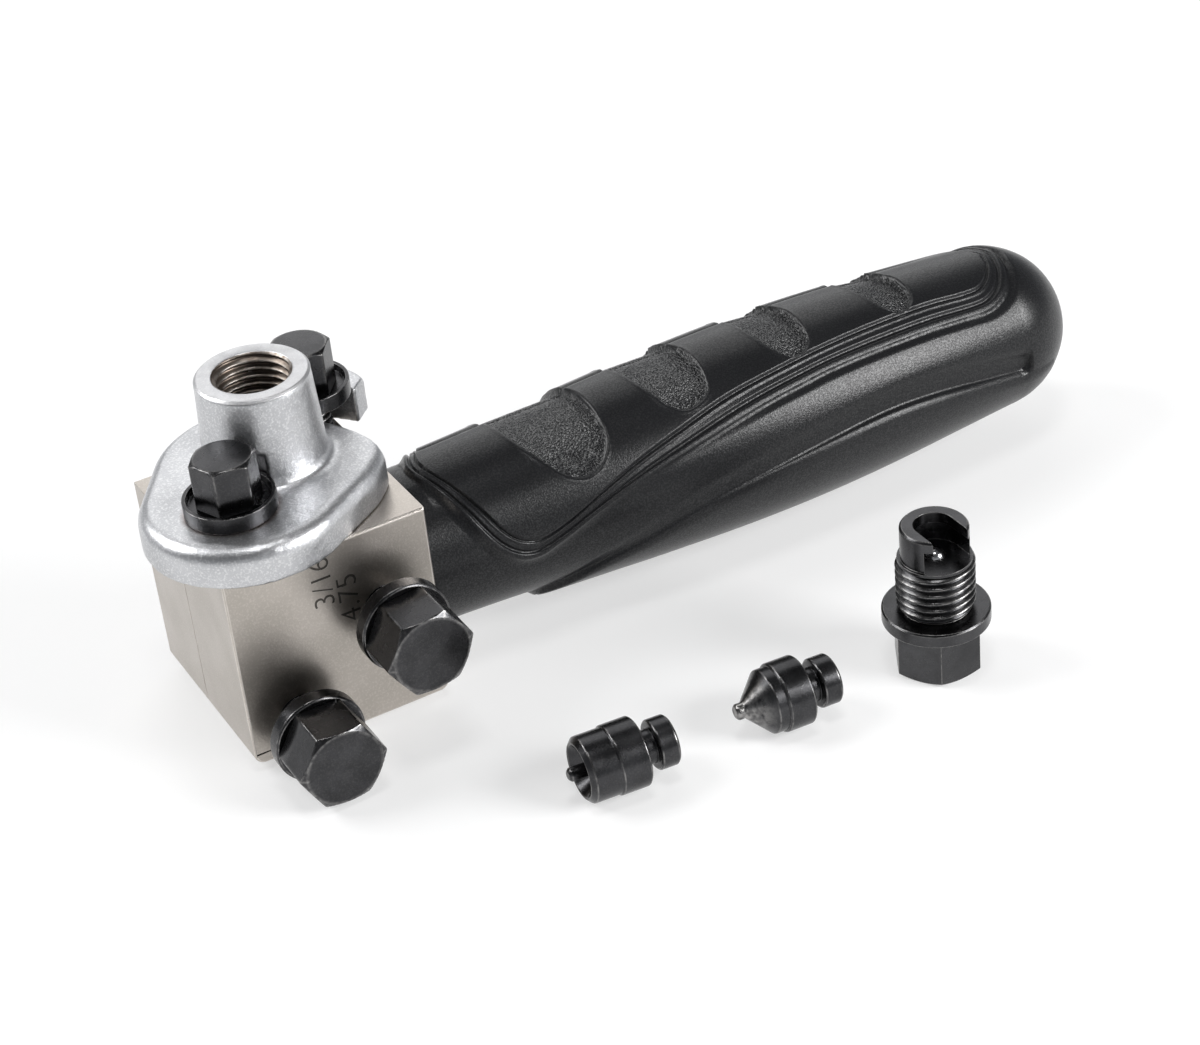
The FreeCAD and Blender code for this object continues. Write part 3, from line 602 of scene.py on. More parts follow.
def collar(name, outer, height, recess, rim, place, axis):
    """Ring under a head, chamfered below. recess sinks its seat inside a thin rim, and a
    ring without one is chamfered above too."""
    floor = height - recess
    if recess > 0:
        corners = [(0, SHANK_HOLE), (0, outer - 0.15 * MM), (0.15 * MM, outer), (height, outer),
                   (height, outer - rim), (floor, outer - rim - 0.15 * MM),
                   (floor, SHANK_HOLE), (0, SHANK_HOLE)]
    else:
        corners = [(0, SHANK_HOLE), (0, outer - 0.2 * MM), (0.2 * MM, outer),
                   (height - 0.3 * MM, outer), (height, outer - 0.35 * MM),
                   (height, SHANK_HOLE), (0, SHANK_HOLE)]
    along, radius, wear = round_section(corners, SOFT_CORNER)
    along, radius, wear = along[:-1], radius[:-1], wear[:-1]
    rows = np.repeat(radius[:, None], len(even_angles), 1)
    return turned_mesh(name, along, rows, even_angles, wear, place, axis, closed_ring=True)


CAP_HEX = 10.2 * MM
CAP_HEAD = 8.8 * MM
CAP_HEX_TURN = -8
CUP_DEPTH = 1.3 * MM
CUP_RIM = 0.7 * MM
for use in ("pivot", "lock"):
    low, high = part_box(use + "_washer")
    bolt_low, bolt_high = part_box(use + "_bolt")
    head_base = bolt_high.z - CAP_HEAD
    centre = ((low.x + high.x) / 2, (low.y + high.y) / 2, 0)
    collar_mesh = collar(use + "_collar", (high.x - low.x) / 2, high.z - low.z, CUP_DEPTH,
                         CUP_RIM, (centre[0], centre[1], low.z), UP)
    add_piece(collar_mesh, [black_oxide], use + "_collar", "black_oxide", use + "_washer")
    head_mesh = hex_head(use + "_bolt_head", CAP_HEX, head_base, bolt_high.z, centre, UP,
                         CAP_HEX_TURN)
    add_piece(head_mesh, [black_oxide], use + "_screw", "black_oxide", use + "_bolt")
    shank_mesh = threaded_shank(use + "_bolt_shank", bolt_low.z, head_base + HIDDEN_LAP,
                                centre, UP)
    add_piece(shank_mesh, [black_oxide], use + "_screw", "black_oxide")

CLAMP_HEX = 14.3 * MM
CLAMP_HEAD = 9.4 * MM
FORWARD = (0, -1, 0)
for side, hex_turn in (("left", -1.5), ("right", 4.0)):
    low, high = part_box("clamp_washer_" + side)
    bolt_low, bolt_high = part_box("clamp_bolt_" + side)
    head_base = -bolt_low.y - CLAMP_HEAD
    place = ((low.x + high.x) / 2, 0, (low.z + high.z) / 2)
    collar_mesh = collar("clamp_collar_" + side, (high.x - low.x) / 2, high.y - low.y, 0, 0,
                         (place[0], high.y, place[2]), FORWARD)
    add_piece(collar_mesh, [black_oxide], side + "_collar", "black_oxide",
              "clamp_washer_" + side)
    head_mesh = hex_head("clamp_bolt_head_" + side, CLAMP_HEX, head_base, -bolt_low.y, place,
                         FORWARD, hex_turn)
    add_piece(head_mesh, [black_oxide], side + "_screw", "black_oxide", "clamp_bolt_" + side)
    shank_mesh = threaded_shank("clamp_bolt_shank_" + side, -bolt_high.y,
                                head_base + HIDDEN_LAP, place, FORWARD)
    add_piece(shank_mesh, [black_oxide], side + "_screw", "black_oxide")

# Forcing screw
# One turned piece in black oxide, stood on its hex head. A T-slot milled through the nose
# takes the button of a punch, and a spring ball in its floor holds the punch there.

SCREW_EDGE = 0.12 * MM
SCREW_MAJOR = 7.0 * MM
SCREW_ROOT = 6.15 * MM
SCREW_SHOULDER = 12.3 * MM
SCREW_THREAD = 10.4 * MM
SCREW_START = 0.1 * MM
THREAD_INSET = 0.5 * MM
RUNOUT_SLOPE = 0.6
plain_black = metal("plain_black", base=(0.054, 0.054, 0.056), tone=(0.072, 0.072, 0.075),
                    edge=(0.3, 0.3, 0.3), roughness=0.27, blotch=260, grain=3200,
                    bump=0.01 * MM, painted_glint=0.04)
worn_black = metal("worn_black", base=(0.10, 0.10, 0.10), tone=(0.06, 0.06, 0.062),
                   edge=(0.34, 0.33, 0.32), roughness=0.32, blotch=500, grain=2600,
                   bump=0.02 * MM, wear=0.4)
machined_copy("forcing_screw", SCREW_EDGE, "forcing_screw", "black_oxide", plain_black,
              worn_black)
screw_low, screw_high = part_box("forcing_screw")
screw_place = ((screw_low.x + screw_high.x) / 2, (screw_low.y + screw_high.y) / 2, 0)
thread_low = screw_low.z + SCREW_SHOULDER
thread_high = thread_low + SCREW_THREAD
cut_along = np.arange(thread_low + SCREW_START, thread_high, THREAD_PITCH / 12)
wave = thread_wave(cut_along, even_angles, THREAD_PITCH)
cut_radius = SCREW_MAJOR - (SCREW_MAJOR - SCREW_ROOT) * wave
lead = (thread_high - cut_along)[:, None] + SCREW_ROOT
runout = (cut_along - thread_low)[:, None] * RUNOUT_SLOPE + SCREW_ROOT
cut_radius = np.minimum(np.minimum(cut_radius, lead), runout)
back_along = np.array([thread_high, thread_low + SCREW_START])
back_radius = np.full((2, len(even_angles)), SCREW_ROOT - THREAD_INSET)
screw_thread = turned_mesh("screw_thread", np.concatenate([cut_along, back_along]),
                           np.vstack([cut_radius, back_radius]), even_angles,
                           np.vstack([crest_wear(wave, 0.6), back_radius * 0]), screw_place,
                           UP, closed_ring=True)
add_piece(screw_thread, [black_oxide], "forcing_screw", "black_oxide")

# Detent ball
# A polished bearing ball. It is staked in at the floor of the T-slot over its spring, and
# its top stands into the slot.

polished_steel = metal("polished_steel", base=(0.72, 0.72, 0.73), tone=(0.66, 0.66, 0.67),
                       edge=(0.9, 0.9, 0.9), roughness=0.16, blotch=300, grain=3000,
                       bump=0.002 * MM)
ball_low, ball_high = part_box("detent_ball")
ball_centre = (ball_low + ball_high) / 2
ball_radius = (ball_high.x - ball_low.x) / 2
ball_turn = np.linspace(0.04, math.pi - 0.04, 40)
ball_rows = np.repeat((ball_radius * np.sin(ball_turn))[:, None], len(even_angles), 1)
ball_mesh = turned_mesh("ball", -ball_radius * np.cos(ball_turn), ball_rows, even_angles,
                        np.zeros(len(ball_turn)), tuple(ball_centre), UP)
add_piece(ball_mesh, [polished_steel], "detent_ball", "polished_steel", "detent_ball")

# Punches
# Two turned punches in black oxide that lie on their collars: the cup with a pilot pin
# out of its hollow face, and the 45 degree cone. Both have a neck and button for the T-slot.

PUNCH_SOFTNESS = 0.14 * MM
PUNCH_COLLAR = 6.25 * MM
PUNCH_NECK = 3.1 * MM
PUNCH_BUTTON = 4.5 * MM
PUNCH_EDGE = 0.3 * MM
NECK_LENGTH = 2.5 * MM
BUTTON_LENGTH = 3.65 * MM
BUTTON_CHAMFER = 0.4 * MM
DIMPLE_DEPTH = 0.6 * MM
POLE = 0.2 * MM
CUP_PIN = 1.25 * MM
CUP_PIN_REACH = 2.1 * MM
CUP_HOLLOW = 3.0 * MM
CUP_BODY = 5.95 * MM
CUP_LENGTH = 5.3 * MM
CUP_TURN = -4.9
CUP_TIP = (23.4 * MM, -60.7 * MM)
CONE_PIN = 1.45 * MM
CONE_PIN_REACH = 1.5 * MM
CONE_BODY = 5.8 * MM
CONE_LENGTH = 7.65 * MM
CONE_TURN = -4.1
CONE_TIP = (53.0 * MM, -62.7 * MM)
CONE_RUBBED = 0.75
RUBBED_LENGTH = 2.0 * MM

# Height of the table that the tool and the loose pieces lie on
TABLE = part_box("flare_cup")[0].z


def punch_tail(start, collar_length):
    """Corners from a punch's collar to the dimpled end of its button."""
    collar_end = start + collar_length
    neck_end = collar_end + NECK_LENGTH
    end = neck_end + BUTTON_LENGTH
    return [(start, PUNCH_COLLAR - PUNCH_EDGE), (start + PUNCH_EDGE, PUNCH_COLLAR),
            (collar_end - PUNCH_EDGE, PUNCH_COLLAR), (collar_end, PUNCH_COLLAR - PUNCH_EDGE),
            (collar_end, PUNCH_NECK), (neck_end, PUNCH_NECK),
            (neck_end, PUNCH_BUTTON - PUNCH_EDGE), (neck_end + PUNCH_EDGE, PUNCH_BUTTON),
            (end - BUTTON_CHAMFER, PUNCH_BUTTON), (end, PUNCH_BUTTON - BUTTON_CHAMFER),
            (end, 1.4 * MM), (end - DIMPLE_DEPTH, 0.4 * MM)]


def laid_punch(name, corners, node, axis_turn, tip, rubbed=0.0):
    """Turned punch laid on the table from its tip, its axis turned about Z in degrees.
    rubbed is how bright the tip is worn."""
    along, radius, wear = round_section(corners, PUNCH_SOFTNESS)
    wear = np.maximum(wear, rubbed * (along < RUBBED_LENGTH))
    rows = np.repeat(radius[:, None], len(even_angles), 1)
    direction = (math.cos(math.radians(axis_turn)), math.sin(math.radians(axis_turn)), 0)
    mesh = turned_mesh(name, along, rows, even_angles, wear, (*tip, TABLE + PUNCH_COLLAR),
                       direction)
    add_piece(mesh, [black_oxide], node, "black_oxide", node)


cup_corners = [(-CUP_PIN_REACH, POLE), (-CUP_PIN_REACH, CUP_PIN - 0.5 * MM),
               (0.5 * MM - CUP_PIN_REACH, CUP_PIN), (CUP_HOLLOW, CUP_PIN),
               (CUP_HOLLOW - 0.2 * MM, 2.7 * MM), (0.1 * MM, 4.7 * MM), (0, 4.85 * MM),
               (0, 5.05 * MM), (0.85 * MM, CUP_BODY), (CUP_LENGTH, CUP_BODY)]
cup_corners += punch_tail(CUP_LENGTH + 0.2 * MM, 5.5 * MM)
laid_punch("cup_punch", cup_corners, "flare_cup", CUP_TURN, CUP_TIP)
cone_corners = [(0, POLE), (0, CONE_PIN - 0.4 * MM), (0.4 * MM, CONE_PIN),
                (CONE_PIN_REACH, CONE_PIN), (CONE_PIN_REACH + CONE_BODY - CONE_PIN, CONE_BODY),
                (CONE_LENGTH, CONE_BODY)]
cone_corners += punch_tail(CONE_LENGTH, 5.2 * MM)
laid_punch("cone_punch", cone_corners, "flare_cone", CONE_TURN, CONE_TIP, CONE_RUBBED)

# Grip
# Moulded in one piece from black nylon over the shank. A raised pad runs along the top
# with a beaded border and four stippled scoops, and the neck flows back under the pad
# into a satin band and a long side groove.

# The grip is worked out in millimetres and becomes metres in its last step
grip_low, grip_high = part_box("grip")
GRIP_START = grip_low.x / MM
GRIP_AXIS = ((grip_low.y + grip_high.y) / 2 / MM, (grip_low.z + grip_high.z) / 2 / MM)
GRIP_LENGTH = (grip_high.x - grip_low.x) / MM
TAIL_RADIUS = 16.3
TAIL_START = GRIP_LENGTH - TAIL_RADIUS
UNROLL_RADIUS = 17.0

# Radius of the turned outside at shares of the length, joined by one smooth curve
SIDE_SHARES = (0, 0.163, 0.346, 0.53, 0.72, 0.8893)
SIDE_RADII = (15.9, 16.8, 18.3, 19.05, 18.1, TAIL_RADIUS)
MOUTH_ROUND = (2.6, 0.5, 0.15, 0.03)

# Depths below that outside, and the places where the side groove and the far line end
NECK_DEPTH = 1.3
NECK_RISE = 1.15
EDGE_DEPTH = 0.5
REAR_GROOVE = 0.5
REAR_DEEPER = 0.4
GROOVE_DEPTH = 0.15
GROOVE_DEEPER = 1.25
GROOVE_END = 129.0
GROOVE_END_BOW = 7.2
LIP_DEPTH = 0.24
LIP_HEIGHT = 0.12
SCOOP_DEPTH = 0.45
SCOOP_DEEPER = 0.85
SCOOP_LIP = 0.10
FAR_DEPTH = 0.50
FAR_ANGLE = -22
FAR_WIDTH = 2.0
PEBBLE = 0.018

# The border is two channels with a bead between them: depth at shares of its width
BORDER_SHARES = (0, 0.03, 0.07, 0.13, 0.18, 0.24, 0.30, 0.50, 0.57, 0.66, 0.73, 0.80, 0.92, 1.0)
BORDER_DEPTHS = (0, 0.30, 0.62, 0.62, 0.30, 0.26, 0.42, 0.42, 0.88, 0.88, 0.36, 0.30, 0.34, 0.50)


def smooth_step(value, low, high):
    """0 below low, 1 above high, eased between."""
    t = np.clip((value - low) / (high - low), 0, 1)
    return t * t * (3 - 2 * t)


def smooth_line(points, count=70):
    """Catmull-Rom curve through (distance from the block, degrees round) points, with
    the degrees turned into millimetres of unrolled surface."""
    knots = np.array(points, float)
    knots[:, 0] -= GRIP_START
    knots[:, 1] = np.radians(knots[:, 1]) * UNROLL_RADIUS
    padded = np.vstack([2 * knots[0] - knots[1], knots, 2 * knots[-1] - knots[-2]])
    t = np.linspace(0, len(knots) - 1, count)
    i = np.minimum(t.astype(int), len(knots) - 2)
    f = (t - i)[:, None]
    a, b, c, d = padded[i], padded[i + 1], padded[i + 2], padded[i + 3]
    return 0.5 * (2 * b + (c - a) * f + (2 * a - 5 * b + 4 * c - d) * f ** 2
                  + (3 * b - a - 3 * c + d) * f ** 3)


def line_distance(line, x, y):
    """Distance of each point from a line: the least of those to its straight parts."""
    best = np.full(x.shape, 1e9)
    for (ax, ay), (bx, by) in zip(line[:-1], line[1:]):
        dx, dy = bx - ax, by - ay
        t = np.clip(((x - ax) * dx + (y - ay) * dy) / (dx * dx + dy * dy + 1e-12), 0, 1)
        best = np.minimum(best, np.hypot(x - ax - t * dx, y - ay - t * dy))
    return best


def within(line, x, y):
    """True for points inside the closed line, by counting crossings."""
    inside = np.zeros(x.shape, bool)
    for (ax, ay), (bx, by) in zip(line, np.roll(line, -1, axis=0)):
        crosses = (ay > y) != (by > y)
        at = ax + (y - ay) * (bx - ax) / (by - ay if by != ay else 1e-12)
        inside ^= crosses & (x < at)
    return inside


def signed_distance(line, x, y, closing):
    """Positive inside the region that the line and the closing points bound."""
    region = np.vstack([line, np.array(closing, float)]) if closing else line
    return np.where(within(region, x, y), 1, -1) * line_distance(line, x, y)


pad_edge = smooth_line([(26.7, -6), (26.8, 6), (29.1, 26), (32.1, 49), (34.3, 64), (36.8, 74),
                        (40.5, 79), (46, 75), (53.8, 65), (63, 54), (72.5, 46), (81.9, 39),
                        (91.3, 35), (110.2, 29.5), (129, 27), (138, 28.5), (142.6, 27),
                        (146.2, 17), (148.2, 3), (148.6, -6)])
border_edge = smooth_line([(24.4, -6), (24.7, 10), (28.4, 47), (30.5, 65), (33.2, 80),
                           (36.6, 90), (40.4, 92.5), (44.4, 88), (52.8, 77), (61.4, 69),
                           (74.8, 60), (88.6, 52), (98, 48.5), (107.2, 46), (125.7, 45),
                           (136, 46), (142.5, 46), (147.2, 38), (150, 24), (151.6, 6),
                           (152, -6)])
groove_top = smooth_line([(44, 132), (56, 103), (72.9, 83), (95.1, 71.5), (118.2, 66.5),
                          (137, 71), (149, 79)])
belly_edge = smooth_line([(41.5, 200), (42, 170), (43.6, 145), (52.7, 122), (62.3, 110),
                          (72.5, 99), (85.4, 92), (105.4, 86), (117, 85), (128.8, 89),
                          (141.2, 97), (150, 103), (156, 106)])


def line_angle(line, x):
    """Degrees round at which a line stands at each x, held at the line's ends."""
    return np.interp(x, line[:, 0] + GRIP_START, np.degrees(line[:, 1] / UNROLL_RADIUS))


# Rows lie closer where the border crosses the grip at its two ends
body_along = np.concatenate([[0.0, 0.12, 0.4, 0.9], np.arange(1.3, 4.5, 0.4),
                             np.arange(4.5, 13, 0.2), np.arange(13, 22, 0.3),
                             np.arange(22, 125.5, 0.36), np.arange(125.5, TAIL_START, 0.22)])
dome_turn = np.radians(np.concatenate([np.arange(0.5, 16, 0.8), np.linspace(16.8, 88.8, 38)]))
rows_along = np.concatenate([body_along, TAIL_START + TAIL_RADIUS * np.sin(dome_turn)])
outside = np.polyfit(np.array(SIDE_SHARES) * GRIP_LENGTH, SIDE_RADII, 5)
rows_radius = np.concatenate([np.polyval(outside, body_along),
                              TAIL_RADIUS * np.cos(dome_turn)])
rows_radius[:4] -= MOUTH_ROUND

# Columns follow the pad, border, groove and belly lines, so that these stay crisp
row_x = GRIP_START + rows_along
pad_line = np.maximum(line_angle(pad_edge, row_x), 8)
border_line = np.maximum(line_angle(border_edge, row_x), pad_line + 5)
groove_line = np.clip(line_angle(groove_top, row_x), border_line + 3, 130)
belly_line = np.clip(line_angle(belly_edge, row_x), groove_line + 4, 150)
spans = ((0 * row_x, pad_line, 44), (pad_line, border_line, 26), (border_line, groove_line, 10),
         (groove_line, belly_line, 16), (belly_line, 0 * row_x + 180, 10))
half_round = np.hstack([low[:, None] + (high - low)[:, None] * np.arange(count) / count
                        for low, high, count in spans] + [0 * row_x[:, None] + 180])
angle_grid = np.radians(np.hstack([half_round, -half_round[:, -2:0:-1]]))
surface_x = np.broadcast_to(rows_along[:, None], angle_grid.shape)
surface_y = np.abs(angle_grid) * UNROLL_RADIUS

pad_inside = signed_distance(pad_edge, surface_x, surface_y, None)
border_inside = signed_distance(border_edge, surface_x, surface_y, None)
border_share = np.clip(-pad_inside / np.maximum(border_inside - pad_inside, 1e-6), 0, 1)
border_depth = np.interp(border_share, BORDER_SHARES, BORDER_DEPTHS)
neck_depth = NECK_DEPTH - NECK_RISE * smooth_step(surface_x, 18, 62)
outside_border = smooth_step(-border_inside, 0.0, 0.55)
rear_groove = bell(border_inside + 0.6, 0.42) * smooth_step(surface_x, 45, 80)
rear_groove *= REAR_GROOVE + REAR_DEEPER * smooth_step(surface_x, 115, 128)
depth = np.where(pad_inside > 0, 0.0, border_depth)
depth = np.where(border_inside < 0, EDGE_DEPTH * (1 - outside_border)
                 + neck_depth * outside_border + rear_groove, depth)

# The side groove runs between its top line and the belly, whose edge has a low lip
belly_inside = signed_distance(belly_edge, surface_x, surface_y, [(160, 75), (22, 75)])
belly_level = smooth_step(belly_inside, -0.7, 0.2)
lip = (LIP_DEPTH * bell(belly_inside - 0.3, 0.35)
       - LIP_HEIGHT * bell(belly_inside - 1.05, 0.3)) * smooth_step(surface_x, 40, 70)
below_groove = signed_distance(groove_top, surface_x, surface_y, [(131, 110), (20, 110)])
groove_share = np.clip(below_groove / np.maximum(below_groove - belly_inside, 1e-6), 0, 1)
bowed_x = surface_x + GROOVE_END_BOW * (groove_share - 0.5) ** 2
groove_end = 1 - smooth_step(bowed_x, GROOVE_END, GROOVE_END + 2.0)
groove_depth = (GROOVE_DEPTH + GROOVE_DEEPER * smooth_step(surface_x, 38, 125)) * groove_end
groove_floor = smooth_step(groove_share, 0.0, 0.55) * smooth_step(below_groove, -0.1, 0.5)
depth = depth + groove_depth * groove_floor * (1 - smooth_step(belly_inside, -0.5, 0.3))
depth = depth * (1 - belly_level) - lip

# Each scoop runs over the top to the far side, where its lines stay straight
scoops = (
    [(39.8, -70), (42.0, -18), (42.3, -8), (43.0, 9), (44.2, 23.5), (45.8, 34.5), (47.5, 44),
     (49.7, 51), (52.6, 53.5), (55.5, 49.8), (58.0, 40.5), (59.0, 31), (59.4, 14), (59.4, -4),
     (58.9, -21), (57.6, -70)],
    [(66.8, -70), (68.4, -18), (68.8, -8), (69.5, 8), (71.2, 27), (73.0, 35.3), (75.2, 38.7),
     (77.6, 37.6), (80.0, 33.5), (81.3, 24), (81.9, 11.5), (81.9, -2), (81.2, -16), (79.6, -70)],
    [(92.2, -62), (94.0, -12), (94.5, 5.5), (95.6, 19.5), (97.5, 29), (99.8, 32.3), (102.1, 30),
     (103.8, 23.5), (104.5, 11), (104.5, -2), (103.8, -14), (102.0, -62)],
    [(116.2, -60), (118.6, -12), (119.6, 6), (121.1, 20.5), (123.4, 27.6), (126.0, 26.6),
     (127.8, 21), (128.6, 10), (128.4, -3), (127.4, -14), (125.6, -60)])
turned_y = angle_grid * UNROLL_RADIUS
stipple = np.zeros(depth.shape)
for outline in scoops:
    edge = smooth_line(outline)
    inside = signed_distance(edge, surface_x, turned_y, None)
    front, rear = edge[:, 0].min(), edge[:, 0].max()
    sunk = SCOOP_DEPTH + SCOOP_DEEPER * np.clip((surface_x - front) / (rear - front), 0, 1)
    level = smooth_step(inside, -0.12, 0.45)
    depth = depth * (1 - level) + np.maximum(depth, sunk) * level
    depth = depth - SCOOP_LIP * bell(inside + 0.28, 0.25) * (depth < 0.3)
    stipple = np.maximum(stipple, smooth_step(inside, 0.05, 0.5))

# The pad's far edge is a thin groove that runs along the grip just past its top
far_line = bell(np.degrees(angle_grid) - FAR_ANGLE, FAR_WIDTH) * smooth_step(surface_x, 8, 11)
depth = depth + FAR_DEPTH * far_line * (1 - smooth_step(surface_x, 105, 125))

tail_fade = smooth_step(GRIP_LENGTH - surface_x, 3.0, 8.0)
pebbles = np.random.default_rng(7).normal(0, PEBBLE, depth.shape)
grip_radius = rows_radius[:, None] - depth * tail_fade + pebbles * stipple
grip_points = np.stack([GRIP_START + surface_x,
                        GRIP_AXIS[0] - grip_radius * np.sin(angle_grid),
                        GRIP_AXIS[1] + grip_radius * np.cos(angle_grid)], -1) * MM
grip_ends = np.stack([grip_points[0].mean(0), grip_points[-1].mean(0)])
grip_ends[0, 0] = grip_points[0, 0, 0]
grip_ends[1, 0] = grip_points[-1, 0, 0] + 0.003 * MM


def moulded_nylon():
    """Black satin plastic with a fine grain, and coarse stipple where the mask says."""
    material = bpy.data.materials.new("moulded_nylon")
    material.use_nodes = True
    nodes, links = material.node_tree.nodes, material.node_tree.links
    surface = nodes["Principled BSDF"]
    place = nodes.new("ShaderNodeTexCoord")
    mask = nodes.new("ShaderNodeAttribute")
    mask.attribute_name = "stipple"
    grain = nodes.new("ShaderNodeTexNoise")
    grain.inputs["Scale"].default_value = 3300
    grain.inputs["Detail"].default_value = 2
    cells = nodes.new("ShaderNodeTexVoronoi")
    cells.inputs["Scale"].default_value = 2600
    cloud = nodes.new("ShaderNodeTexNoise")
    cloud.inputs["Scale"].default_value = 60
    for texture in (grain, cells, cloud):
        links.new(place.outputs["Object"], texture.inputs["Vector"])
    # Black, a little paler in clouds
    tone = colour_mix(nodes)
    tone.inputs[6].default_value = (0.0080, 0.0082, 0.0090, 1)
    tone.inputs[7].default_value = (0.0120, 0.0123, 0.0134, 1)
    links.new(cloud.outputs["Fac"], tone.inputs["Factor"])
    links.new(tone.outputs[2], surface.inputs["Base Color"])
    # Satin, a little rougher in the stipple
    gloss = ramp(nodes, 0, 1, 0.25, 0.33)
    rough = nodes.new("ShaderNodeMix")
    rough.inputs[3].default_value = 0.33
    links.new(cloud.outputs["Fac"], gloss.inputs["Value"])
    links.new(mask.outputs["Fac"], rough.inputs["Factor"])
    links.new(gloss.outputs["Result"], rough.inputs[2])
    links.new(rough.outputs[0], surface.inputs["Roughness"])
    # The grain breaks up the shine, and the stipple's cells sparkle
    shine = ramp(nodes, 0.42, 0.66, 0.20, 0.44)
    sparkle = ramp(nodes, 0.25, 0.65, 0.08, 1.05)
    glint = nodes.new("ShaderNodeMix")
    links.new(grain.outputs["Fac"], shine.inputs["Value"])
    links.new(cells.outputs["Distance"], sparkle.inputs["Value"])
    links.new(mask.outputs["Fac"], glint.inputs["Factor"])
    links.new(shine.outputs["Result"], glint.inputs[2])
    links.new(sparkle.outputs["Result"], glint.inputs[3])
    links.new(glint.outputs[0], surface.inputs["Specular IOR Level"])
    # Fine relief everywhere, and deep cells in the stipple
    fine_bump = nodes.new("ShaderNodeBump")
    fine_bump.inputs["Distance"].default_value = 0.03 * MM
    coarse_bump = nodes.new("ShaderNodeBump")
    coarse_bump.inputs["Distance"].default_value = 0.3 * MM
    links.new(grain.outputs["Fac"], fine_bump.inputs["Height"])
    links.new(cells.outputs["Distance"], coarse_bump.inputs["Height"])
    links.new(mask.outputs["Fac"], coarse_bump.inputs["Strength"])
    links.new(fine_bump.outputs["Normal"], coarse_bump.inputs["Normal"])
    links.new(coarse_bump.outputs["Normal"], surface.inputs["Normal"])
    return material


grip_mesh = closed_mesh("grip_moulding", grip_points, grip_ends, "stipple", stipple)
add_piece(grip_mesh, [moulded_nylon()], "root", "grip_plastic", "grip")

# Stage
# A white floor under soft studio light: a room with pale walls and a dark ceiling, and
# four square lamps. The camera stands where the photograph was taken from.

FLOOR_REACH = 3.0
FLOOR_CORNERS = [(-FLOOR_REACH, -FLOOR_REACH, TABLE), (FLOOR_REACH, -FLOOR_REACH, TABLE),
                 (FLOOR_REACH, FLOOR_REACH, TABLE), (-FLOOR_REACH, FLOOR_REACH, TABLE)]
PAPER_SHARE = 0.5


def white_floor():
    """Matt white that still takes a shadow. To the camera, and in what metal and glass
    reflect, it is mixed with plain white paper, so that it comes out white."""
    material = bpy.data.materials.new("white_floor")
    material.use_nodes = True
    nodes, links = material.node_tree.nodes, material.node_tree.links
    matt = nodes["Principled BSDF"]
    matt.inputs["Base Color"].default_value = (0.97, 0.97, 0.97, 1)
    matt.inputs["Roughness"].default_value = 0.9
    paper = nodes.new("ShaderNodeEmission")
    paper.inputs["Strength"].default_value = 1.0
    seen = nodes.new("ShaderNodeLightPath")
    either = math_node(nodes, "ADD")
    any_view = math_node(nodes, "ADD")
    share = math_node(nodes, "MULTIPLY")
    share.inputs[1].default_value = PAPER_SHARE
    share.use_clamp = True
    blend = nodes.new("ShaderNodeMixShader")
    links.new(seen.outputs["Is Camera Ray"], either.inputs[0])
    links.new(seen.outputs["Is Glossy Ray"], either.inputs[1])
    links.new(either.outputs[0], any_view.inputs[0])
    links.new(seen.outputs["Is Transmission Ray"], any_view.inputs[1])
    links.new(any_view.outputs[0], share.inputs[0])
    links.new(share.outputs[0], blend.inputs["Fac"])
    links.new(matt.outputs["BSDF"], blend.inputs[1])
    links.new(paper.outputs["Emission"], blend.inputs[2])
    links.new(blend.outputs["Shader"], nodes["Material Output"].inputs["Surface"])
    return material


floor_mesh = bpy.data.meshes.new("floor")
floor_mesh.from_pydata(FLOOR_CORNERS, [], [(0, 1, 2, 3)])
floor_mesh.materials.append(white_floor())
floor = bpy.data.objects.new("floor", floor_mesh)
scene = bpy.context.scene
scene.collection.objects.link(floor)

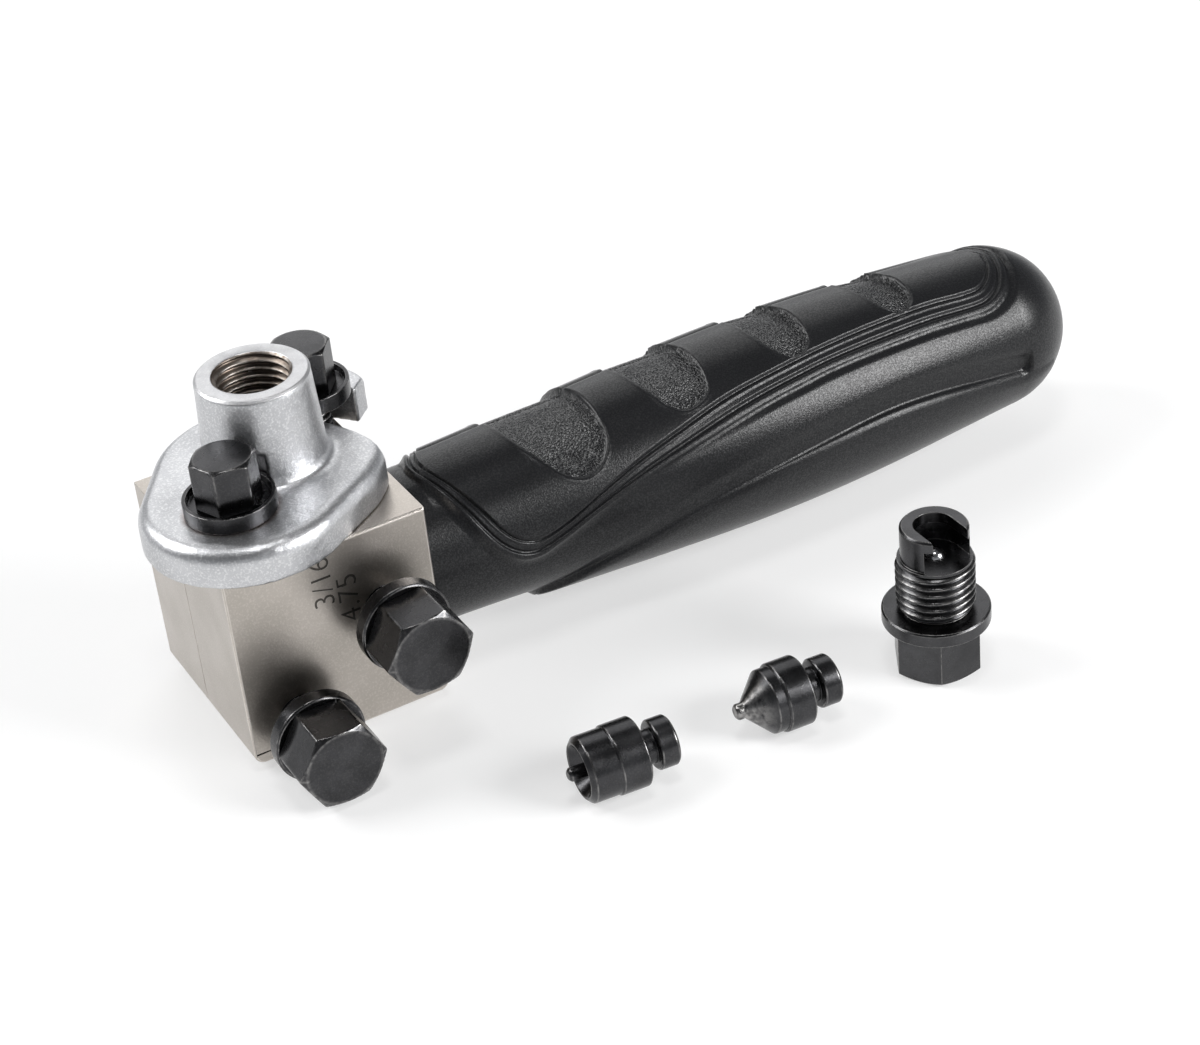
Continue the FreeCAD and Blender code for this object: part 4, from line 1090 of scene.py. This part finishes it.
# Light of the room, from its walls up to its ceiling at this height on a unit sphere
WALL_LIGHT = 0.42
CEILING_LIGHT = 0.08
CEILING_HEIGHT = 0.6
world = bpy.data.worlds.new("studio")
scene.world = world
world.use_nodes = True
sky_nodes, sky_links = world.node_tree.nodes, world.node_tree.links
sky = sky_nodes["Background"]
sky.inputs["Color"].default_value = (0.93, 0.96, 1.0, 1)
direction = sky_nodes.new("ShaderNodeTexCoord")
direction_parts = sky_nodes.new("ShaderNodeSeparateXYZ")
room_light = ramp(sky_nodes, 0.0, CEILING_HEIGHT, WALL_LIGHT, CEILING_LIGHT)
sky_links.new(direction.outputs["Generated"], direction_parts.inputs[0])
sky_links.new(direction_parts.outputs["Z"], room_light.inputs["Value"])
sky_links.new(room_light.outputs["Result"], sky.inputs["Strength"])


def softbox(name, place, target, size, power):
    """Square area lamp that points at a target."""
    data = bpy.data.lights.new(name, "AREA")
    data.size = size
    data.energy = power
    lamp = bpy.data.objects.new(name, data)
    scene.collection.objects.link(lamp)
    lamp.location = place
    aim = Vector(target) - Vector(place)
    lamp.rotation_euler = aim.to_track_quat("-Z", "Y").to_euler()


softbox("key", (-0.52, 0.43, 0.67), (0.04, 0, 0.02), 0.5, 6.0)
softbox("back", (0.33, 0.67, 0.50), (0.06, 0, 0.02), 0.8, 2.7)
softbox("right", (0.56, -0.60, 0.40), (0.11, 0, 0.02), 0.38, 7.5)
softbox("top", (0.0, -0.17, 0.95), (0.0, -0.01, 0.03), 0.22, 1.6)

# Fitted to the edges of the die block
CAMERA_PLACE = (-131.25 * MM, -389.45 * MM, 294.8 * MM)
CAMERA_AZIMUTH = math.radians(-26.445)
CAMERA_ELEVATION = math.radians(33.556)
CAMERA_ROLL = math.radians(-6.080)
CAMERA_LENS = 83.01
towards = Vector((math.sin(CAMERA_AZIMUTH) * math.cos(CAMERA_ELEVATION),
                  -math.cos(CAMERA_AZIMUTH) * math.cos(CAMERA_ELEVATION),
                  math.sin(CAMERA_ELEVATION)))
level = (-towards).cross(Vector((0, 0, 1))).normalized()
upright = level.cross(-towards)
across = math.cos(CAMERA_ROLL) * level + math.sin(CAMERA_ROLL) * upright
upward = -math.sin(CAMERA_ROLL) * level + math.cos(CAMERA_ROLL) * upright
camera_data = bpy.data.cameras.new("camera")
camera_data.lens = CAMERA_LENS
camera_data.sensor_width = 36.0
camera_data.clip_start = 0.01
camera = bpy.data.objects.new("camera", camera_data)
scene.collection.objects.link(camera)
camera.matrix_world = Matrix.Translation(CAMERA_PLACE) @ Matrix(
    (across, upward, towards)).transposed().to_4x4()
scene.camera = camera
scene.view_settings.view_transform = "Standard"
